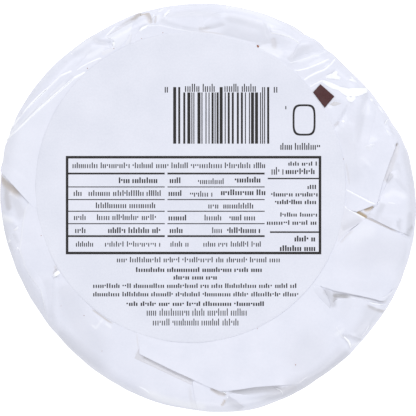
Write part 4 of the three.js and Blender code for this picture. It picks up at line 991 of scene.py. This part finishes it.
# The print on the label, as plain bars and strokes with no letters. Text lines are y of
# their middle, height, then from x, to x and weight of each part, from 0 light to 1 bold.
labelPrint = {
    "seed": 7,
    "frame": {"left": -37.15, "right": 29.6, "front": -12.1, "back": 13.6, "thick": 0.66},
    "textLines": [
        (11.15, 1.5, [(-35.4, 15.6, 0.2)]), (7.25, 1.5, [(-23.3, -12.5, 0.8), (-10, -6.6, 0.7)]),
        (7, 1.5, [(-2.6, 4.6, 0.1)]), (7.4, 1.5, [(7, 14.6, 0.9)]),
        (3.9, 1.5, [(-35.1, -31.9, 0.3), (-31.2, -12.2, 0.3), (-10.3, -6.9, 0.6)]),
        (3.7, 1.5, [(-4.7, 1.3, 0.1)]), (4.1, 1.5, [(3.4, 15.1, 0.8)]),
        (0.7, 1.5, [(-29.3, -13.5, 0.3)]), (0.6, 1.5, [(0.1, 3, 0.2), (4, 12.7, 0.3)]),
        (-2.4, 1.5, [(-35, -31.8, 0.2), (-29, -13.3, 0.2)]),
        (-2.5, 1.5, [(-10.3, -5.7, 0.6), (-0.9, 3.7, 0.2), (5.6, 12.7, 0.4)]),
        (-5.8, 1.5, [(-34.7, -31.8, 0.4), (-26.1, -12, 0.7), (-10, -6.6, 0.6),
            (1.1, 3.8, 0.1), (5, 13.9, 0.7)]),
        (-9.4, 1.4, [(-34.5, -29.7, 0.1), (-26.9, -12, 0.1), (-9.8, -4.8, 0.1), (-1.2, 14, 0.1)]),
        (11.6, 1.1, [(21, 28.7, 0.5)]), (9.7, 2, [(16.6, 19.8, 0.2)]), (9.6, 1.5, [(20.3, 28.7, 0.7)]),
        (5.5, 1.1, [(26, 28.6, 0.6)]), (3.6, 1.2, [(16.5, 28.7, 0.6)]), (1.6, 1.2, [(17.5, 28.6, 0.8)]),
        (-1.7, 1.1, [(18.9, 28.5, 0.5)]), (-3.8, 1.2, [(15.4, 28.6, 0.6)]), (-8, 1.5, [(22.6, 28.2, 1)]),
        (-10.5, 1.5, [(18.8, 28.2, 1)]), (-13.5, 1.4, [(-23.8, 18.8, 0.2)]),
        (-16.1, 1.25, [(-18.8, 14.4, 0.8)]), (-18.1, 1.2, [(-9, 2.6, 0.8)]),
        (-20.3, 1.2, [(-30, 23.6, 0.5)]), (-22.5, 1.2, [(-30, 23.6, 0.5)]),
        (-25, 1.2, [(-21.3, 14.9, 0.8)]), (-27.2, 1.9, [(-16, 10.2, 0)]),
        (-29.8, 1.8, [(-14.4, 8.2, 0)]), (16.1, 1.8, [(18.9, 30.4, 0.3)]),
        (31.4, 2.1, [(-6, 2.3, 0.2), (4.3, 12.7, 0.2)]),
        (31.2, 2.1, [(-11.3, -10.3, 0.2), (17.2, 18.2, 0.2)]), (26.4, 1.2, [(20.2, 20.9, 0.2)]),
    ],
    "rules": {
        "columns": [(-36.6, -11.3), (-10.6, 14.8)],
        "inColumns": [(0.47, [9.0, -7.35]), (0.25, [5.5, 2.2, -0.85, -4.1])],  # breadth, each y
        "others": [(15.6, 29.3, 7.7, 0.34), (16.2, 29.3, -6.3, 0.4)],  # from x, to x, y, breadth
    },
    "ring": {"centre": (25.1, 23.0), "half": (3.0, 4.1), "power": 0.5, "thick": 0.5, "steps": 72},
    "barcode": {
        "left": -9.1, "right": 16.0, "front": 16.8, "back": 30.2, "guardBack": 31.6, "module": 0.264,
        "endGuard": 2.2, "middleGuard": 0.9,  # bars reach further back within these lengths
        "bars": [1, 1, 1, 2, 2, 3], "gaps": [1, 1, 2, 2, 3],  # widths to draw from, in modules
    },
    "inkAbove": 0.012,
    "inkBelow": 0.03,
    "cell": 1.3,  # a bar is cut into cells of this length, so that it follows the paper
}
strokeShape = {
    "breadth": (0.24, 0.4),  # of a stroke, light and bold
    "gap": (0.3, 0.22),
    "gapWander": (0.8, 1.3),
    "low": 0.7,  # height of a low stroke, as a share of a tall one's
    "tallShare": 0.25,  # this share of the strokes is tall
    "dotShare": 0.1,  # and this share is short
    "dot": 0.45,  # its height, as a share of a low one's
    "word": (4, 15),  # a word has from 4 to 14 strokes
    "wordGap": 0.55,
}


def ruledLines():
    # the frame's four bars and the table's rules, as (left, right, front, back) of each bar
    box, rules = labelPrint["frame"], labelPrint["rules"]
    left, right, front, back, thick = (box[key] for key in ("left", "right", "front", "back", "thick"))
    inner = (front + thick, back - thick)
    bars = [(left, right, front, inner[0]), (left, right, inner[1], back)]
    bars += [(left, left + thick, *inner), (right - thick, right, *inner)]
    lines = list(rules["others"])
    for start, end in rules["columns"]:
        for breadth, places in rules["inColumns"]:
            lines += [(start, end, y, breadth) for y in places]
    return bars + [(start, end, y - width / 2, y + width / 2) for start, end, y, width in lines]


def textStrokes(dice, left, right, middle, height, weight):
    # words of upright strokes: low ones, and now and then a tall one or a short dot
    strokes = []
    stroke, gap = mix(*strokeShape["breadth"], weight), mix(*strokeShape["gap"], weight)
    low = height * strokeShape["low"]
    at = left
    while at < right - stroke:
        for _ in range(dice.integers(*strokeShape["word"])):
            kind = dice.random()
            front = middle - height / 2
            back = front + (height if kind < strokeShape["tallShare"] else low)
            if kind > 1 - strokeShape["dotShare"]:
                front = back - low * strokeShape["dot"]
            strokes.append((at, at + stroke, front, back))
            at += stroke + gap * mix(*strokeShape["gapWander"], dice.random())
            if at > right - stroke:
                break
        at += strokeShape["wordGap"]
    return strokes


def barcodeBars(dice):
    # seeded bars and gaps, with longer guard bars at both ends and the middle
    code = labelPrint["barcode"]
    left, right = code["left"], code["right"]
    bars = []
    at = left
    while at < right:
        width = code["module"] * dice.choice(code["bars"])
        guard = min(at - left, right - at) < code["endGuard"]
        guard = guard or abs(at - (left + right) / 2) < code["middleGuard"]
        bars.append((at, min(at + width, right), code["front"], code["guardBack" if guard else "back"]))
        at += width + code["module"] * dice.choice(code["gaps"])
    return bars


def ringCells():
    # corners of the cells of a rounded box's outline: half * sign(cos) * |cos|^power in x,
    # and the same of the sine in y
    ring = labelPrint["ring"]
    angle = np.linspace(0, 2 * math.pi, ring["steps"] + 1)
    circle = np.stack([np.cos(angle), np.sin(angle)], axis=-1)
    rounded = np.sign(circle) * np.abs(circle) ** ring["power"]
    half = np.array(ring["half"])
    outer, inner = (np.array(ring["centre"]) + rounded * size for size in (half, half - ring["thick"]))
    return np.stack([outer[:-1], outer[1:], inner[1:], inner[:-1]], axis=1)


def boxCorners(left, right, front, back):
    # the four corners in turn, seen from above
    return [(left, front), (right, front), (right, back), (left, back)]


def makeBoxes(name, lower, upper):
    # closed boxes, each between four points of its underside and the four above them
    sides = np.array([(0, 3, 2, 1), (4, 5, 6, 7), (0, 1, 5, 4), (1, 2, 6, 5), (2, 3, 7, 6), (3, 0, 4, 7)])
    faces = (np.arange(len(lower))[:, None, None] * 8 + sides).reshape(-1, 4)
    return makeMesh(name, np.concatenate([lower, upper], axis=1), faces.tolist())


def makeInk():
    # every mark is a thin closed box whose top follows the label just above its surface
    dice = np.random.default_rng(labelPrint["seed"])
    marks = ruledLines() + barcodeBars(dice)
    for middle, height, parts in labelPrint["textLines"]:
        for left, right, weight in parts:
            marks += textStrokes(dice, left, right, middle, height, weight)
    cells = [ringCells()]
    for mark in marks:
        x, y = (
            np.linspace(start, end, max(1, math.ceil((end - start) / labelPrint["cell"])) + 1)
            for start, end in (mark[:2], mark[2:])
        )
        low, high = np.meshgrid(x[:-1], y[:-1]), np.meshgrid(x[1:], y[1:])
        corners = np.array(boxCorners(low[0], high[0], low[1], high[1]))
        cells.append(np.moveaxis(corners.reshape(4, 2, -1), -1, 0))
    x, y = np.moveaxis(np.concatenate(cells), -1, 0)
    lower = aboveLabel(x, y, -labelPrint["inkBelow"])
    piece = makeBoxes("labelInk", lower, aboveLabel(x, y, labelPrint["inkAbove"]))
    piece.data.polygons.foreach_set("use_smooth", np.zeros(len(piece.data.polygons), bool))
    return piece


inkPiece = makeInk()
print("print made:", len(inkPiece.data.polygons) // 6, "marks")

# Specks of grit on the wrapper: x, y, size, height of their tops over the skin.
grit = [
    (13.1, 42.2, 0.45, 0.1), (12.9, 42.4, 0.3, 0.1), (12.9, -31.5, 0.16, 0.05), (35.4, 12.8, 0.16, 0.05),
    (22.9, -41, 0.22, 0.05), (-27.7, -37.4, 0.12, 0.04), (-45.5, -3.9, 0.16, 0.05),
    (-44.8, -4.7, 0.18, 0.05), (-43.6, -7.2, 0.18, 0.05), (-44, -7.7, 0.16, 0.05),
    (-11.8, 45.8, 0.18, 0.05), (-31.5, 36.5, 0.18, 0.05), (-32.4, -28.1, 0.16, 0.04),
    (-38.4, -25.6, 0.12, 0.04), (-17.4, 44.3, 0.14, 0.04), (-24.6, 41.7, 0.18, 0.05),
    (34.7, -17.6, 0.14, 0.04),
]


def makeGrit():
    # each speck is a small closed box on the skin
    places = np.array(grit)
    corners = np.array(boxCorners(-0.5, 0.5, -0.5, 0.5)) * places[:, None, 2:3]
    x, y = np.moveaxis(places[:, None, :2] + corners, -1, 0)
    skin = skinHeight(x, y)
    return makeBoxes("brownGrit", onWheel(x, y, skin), onWheel(x, y, skin + places[:, 3:]))


gritPiece = makeGrit()
print("grit made:", len(grit), "specks")

printedCorner = {
    "corners": [(27.45, 30.25), (29.35, 32.35), (33.0, 29.15), (30.5, 26.2)],  # inner two at each end
    "lift": 0.2,
    "thickness": 0.08,
    "cells": 24,
}


def makePrintedCorner():
    # a four-sided patch laid on the skin, its inner side tucked under the label
    share = np.linspace(0, 1, printedCorner["cells"] + 1)
    across, along = share[:, None, None], share[None, :, None]
    first, second, third, fourth = np.array(printedCorner["corners"])
    x, y = np.moveaxis(mix(mix(first, fourth, along), mix(second, third, along), across), -1, 0)
    upper = skinHeight(x, y) + printedCorner["lift"]
    lower = upper - printedCorner["thickness"]
    return slabFromGrid("printedPaperCorner", onWheel(x, y, upper), onWheel(x, y, lower))


cornerPiece = makePrintedCorner()
print("printed corner made")


def linearColour(code):
    # sRGB hex to linear red, green, blue and full alpha
    parts = [int(code[i : i + 2], 16) / 255 for i in (1, 3, 5)]
    return [c / 12.92 if c <= 0.04045 else ((c + 0.055) / 1.055) ** 2.4 for c in parts] + [1.0]


def socketOf(sockets, name):
    # a mix node has one socket of the same name for each type, all but one switched off
    return next(socket for socket in sockets if socket.enabled and name in (socket.name, None))


def addNode(tree, kind, settings=None, links=None, output=None):
    # adds a node and gives its named output, or the first that is switched on
    node = tree.nodes.new(kind)
    for name, value in (settings or {}).items():
        if name == "stops":
            for stop, (position, code) in zip(node.color_ramp.elements, value):
                stop.position, stop.color = position, linearColour(code)
        elif name in node.inputs:
            socketOf(node.inputs, name).default_value = value
        else:
            setattr(node, name, value)
    for name, source in (links or {}).items():
        tree.links.new(source, socketOf(node.inputs, name))
    return socketOf(node.outputs, output) if node.outputs else None


def newMaterial(name):
    # a material and its node tree, emptied
    material = bpy.data.materials.new(name)
    material.use_nodes = True
    material.node_tree.nodes.clear()
    return material, material.node_tree


def grainScale(size):
    # scale of a pattern whose grains are this many millimetres, on places in metres
    return 1 / (size * metresPerMm)


def glossyWrappingPaper():
    # Bleached paper with a clear plastic coat: cool white, smooth, glossy and a little cloudy from its
    # fibres.
    # Its colour is mixed towards grey painted shade, warm painted shade and a painted white glint, by the
    # pieces' shares.
    material, tree = newMaterial("glossyWrappingPaper")
    place = {"Vector": addNode(tree, "ShaderNodeTexCoord", output="Object")}
    clouds = addNode(tree, "ShaderNodeTexNoise", {"Scale": grainScale(7), "Detail": 3}, place)
    fine = {"Scale": grainScale(0.7), "Detail": 4, "Roughness": 0.6}
    fibres = addNode(tree, "ShaderNodeTexNoise", fine, place)
    ripple = addNode(tree, "ShaderNodeTexNoise", {"Scale": grainScale(2.6), "Detail": 2}, place)
    both = addNode(tree, "ShaderNodeMix", {"Factor": 0.35}, {"A": clouds, "B": fibres})
    colour = addNode(
        tree, "ShaderNodeValToRGB", {"stops": [(0.3, "#DDE0EE"), (0.7, "#E5E7F4")]}, {"Fac": both}
    )
    # grey painted shade, warm brown for the inner side and painted shade, and a painted white glint
    for name, code in (("shadow", "#A5A6AE"), ("innerSideAndShade", "#B8A384"), ("paintedGlint", "#F7F9FF")):
        share = addNode(tree, "ShaderNodeAttribute", {"attribute_name": name}, output="Fac")
        settings = {"data_type": "RGBA", "B": linearColour(code)}
        colour = addNode(tree, "ShaderNodeMix", settings, {"Factor": share, "A": colour})
    height = addNode(tree, "ShaderNodeMix", {"Factor": 0.2}, {"A": ripple, "B": fibres})
    bumps = {"Strength": 0.5, "Distance": 0.03 * metresPerMm}
    links = {
        "Base Color": colour,
        "Roughness": addNode(tree, "ShaderNodeMapRange", {"To Min": 0.4, "To Max": 0.5}, {"Value": clouds}),
        "Normal": addNode(tree, "ShaderNodeBump", bumps, {"Height": height}),
    }
    settings = {"IOR": 1.5, "Coat Weight": 0.5, "Coat Roughness": 0.12, "Coat IOR": 1.5}
    shader = addNode(tree, "ShaderNodeBsdfPrincipled", settings, links)
    addNode(tree, "ShaderNodeOutputMaterial", None, {"Surface": shader})
    return material


def satinLabelPaper():
    # Calendered label stock: cool white, satin, finely fibrous and a little cloudy.
    material, tree = newMaterial("satinLabelPaper")
    place = {"Vector": addNode(tree, "ShaderNodeTexCoord", output="Object")}
    clouds = addNode(tree, "ShaderNodeTexNoise", {"Scale": grainScale(9), "Detail": 4}, place)
    fibres = addNode(tree, "ShaderNodeTexNoise", {"Scale": grainScale(0.5), "Detail": 4}, place)
    both = addNode(tree, "ShaderNodeMix", {"Factor": 0.4}, {"A": clouds, "B": fibres})
    stops = {"stops": [(0.3, "#D8DBE8"), (0.7, "#E3E5F1")]}
    bumps = {"Strength": 0.4, "Distance": 0.015 * metresPerMm}
    links = {
        "Base Color": addNode(tree, "ShaderNodeValToRGB", stops, {"Fac": both}),
        "Normal": addNode(tree, "ShaderNodeBump", bumps, {"Height": both}),
    }
    shader = addNode(tree, "ShaderNodeBsdfPrincipled", {"IOR": 1.5, "Roughness": 0.48}, links)
    addNode(tree, "ShaderNodeOutputMaterial", None, {"Surface": shader})
    return material


def unevenCoat(name, dark, light, roughness):
    # Ink on coated stock, or grit: dense, with the slight unevenness of a fine grain.
    material, tree = newMaterial(name)
    place = {"Vector": addNode(tree, "ShaderNodeTexCoord", output="Object")}
    grain = addNode(tree, "ShaderNodeTexNoise", {"Scale": grainScale(0.4), "Detail": 3}, place)
    colour = addNode(tree, "ShaderNodeValToRGB", {"stops": [(0.35, dark), (0.75, light)]}, {"Fac": grain})
    settings = {"IOR": 1.5, "Roughness": roughness}
    shader = addNode(tree, "ShaderNodeBsdfPrincipled", settings, {"Base Color": colour})
    addNode(tree, "ShaderNodeOutputMaterial", None, {"Surface": shader})
    return material


def paleFloor():
    # Matt white studio board. To the camera alone it also glows, which drowns its own
    # shading, and throws no more light on the wheel.
    material, tree = newMaterial("paleStudioFloor")
    seen = addNode(tree, "ShaderNodeLightPath", output="Is Camera Ray")
    glow = addNode(tree, "ShaderNodeMapRange", {"To Max": studio["floorGlow"]}, {"Value": seen})
    settings = {"Base Color": linearColour("#F2F2F2"), "Roughness": 0.9}
    settings["Emission Color"] = linearColour("#FFFFFF")
    shader = addNode(tree, "ShaderNodeBsdfPrincipled", settings, {"Emission Strength": glow})
    addNode(tree, "ShaderNodeOutputMaterial", None, {"Surface": shader})
    return material


wrappingPaper = glossyWrappingPaper()
finishes = [
    (wrapperPiece, "wrapped_wheel", "wrapping_paper", wrappingPaper),
    (labelPiece, "round_label", "label_paper", satinLabelPaper()),
    (cornerPiece, "printed_corner", "printed_paper", unevenCoat("maroonInk", "#41191D", "#4E2427", 0.38)),
    (inkPiece, None, "label_paper", unevenCoat("blackInk", "#0F0B0D", "#1E191B", 0.5)),
    (gritPiece, None, "wrapping_paper", unevenCoat("brownGrit", "#8E5230", "#A8684A", 0.7)),
]
finishes += [(piece, None, "wrapping_paper", wrappingPaper) for piece in sheetPieces]
for piece, node, slot, material in finishes:
    piece.data.materials.append(material)
    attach(piece, "root")
    if node:
        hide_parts(node)
print("materials set")

studio = {
    "floorSize": 6000.0,
    "floorLevel": -0.05,
    "floorGlow": 0.5,
    "surround": 0.7,
}
# soft lamps: their sizes and distances are in metres, height and turn in degrees
stripLights = {
    "backStrip": {"size": (3.2, 1.4), "distance": 2.4, "height": 50, "turn": 0, "watts": 28},
    "frontStrip": {"size": (0.9, 0.4), "distance": 0.9, "height": 32, "turn": 155, "watts": 1.8},
}


def makeFloor():
    # one square face round the origin
    half = studio["floorSize"] / 2
    points = [(*corner, studio["floorLevel"]) for corner in boxCorners(-half, half, -half, half)]
    floor = makeMesh("studioFloor", np.array(points), [[0, 1, 2, 3]])
    floor.data.materials.append(paleFloor())


def addStripLight(name, strip):
    # a long soft lamp aimed at the origin, height degrees above the floor
    height, turn = math.radians(strip["height"]), math.radians(strip["turn"])
    lamp = bpy.data.lights.new(name, "AREA")
    lamp.shape = "RECTANGLE"
    lamp.size, lamp.size_y = strip["size"]
    lamp.energy = strip["watts"]
    light = bpy.data.objects.new(name, lamp)
    across = strip["distance"] * math.cos(height)
    up = strip["distance"] * math.sin(height)
    light.location = (across * math.sin(turn), across * math.cos(turn), up)
    light.rotation_euler = (height - math.pi / 2, 0.0, -turn)
    bpy.context.scene.collection.objects.link(light)


def makeSurround():
    # even white light from all round
    world = bpy.data.worlds.new("studioSurround")
    world.use_nodes = True
    backdrop = world.node_tree.nodes["Background"]
    backdrop.inputs["Color"].default_value = linearColour("#FFFFFF")
    backdrop.inputs["Strength"].default_value = studio["surround"]
    bpy.context.scene.world = world


camera = {
    "lens": 300.0,
    "sensor": 36.0,
    "viewWidth": 108.7,  # millimetres that the view spans at the label
    "farEnd": 10.0,  # metres
}


def makeCamera():
    # straight above, so far up that the view spans its width at the label's height
    data = bpy.data.cameras.new("overheadCamera")
    data.lens = camera["lens"]
    data.sensor_width = camera["sensor"]
    data.clip_end = camera["farEnd"]
    overhead = bpy.data.objects.new("overheadCamera", data)
    reach = camera["viewWidth"] * camera["lens"] / camera["sensor"]
    overhead.location = (0.0, 0.0, (wheel["height"] + reach) * metresPerMm)
    bpy.context.scene.collection.objects.link(overhead)
    bpy.context.scene.camera = overhead


makeFloor()
for name, strip in stripLights.items():
    addStripLight(name, strip)
makeSurround()
makeCamera()
bpy.context.scene.view_settings.view_transform = "Standard"
print("studio set")
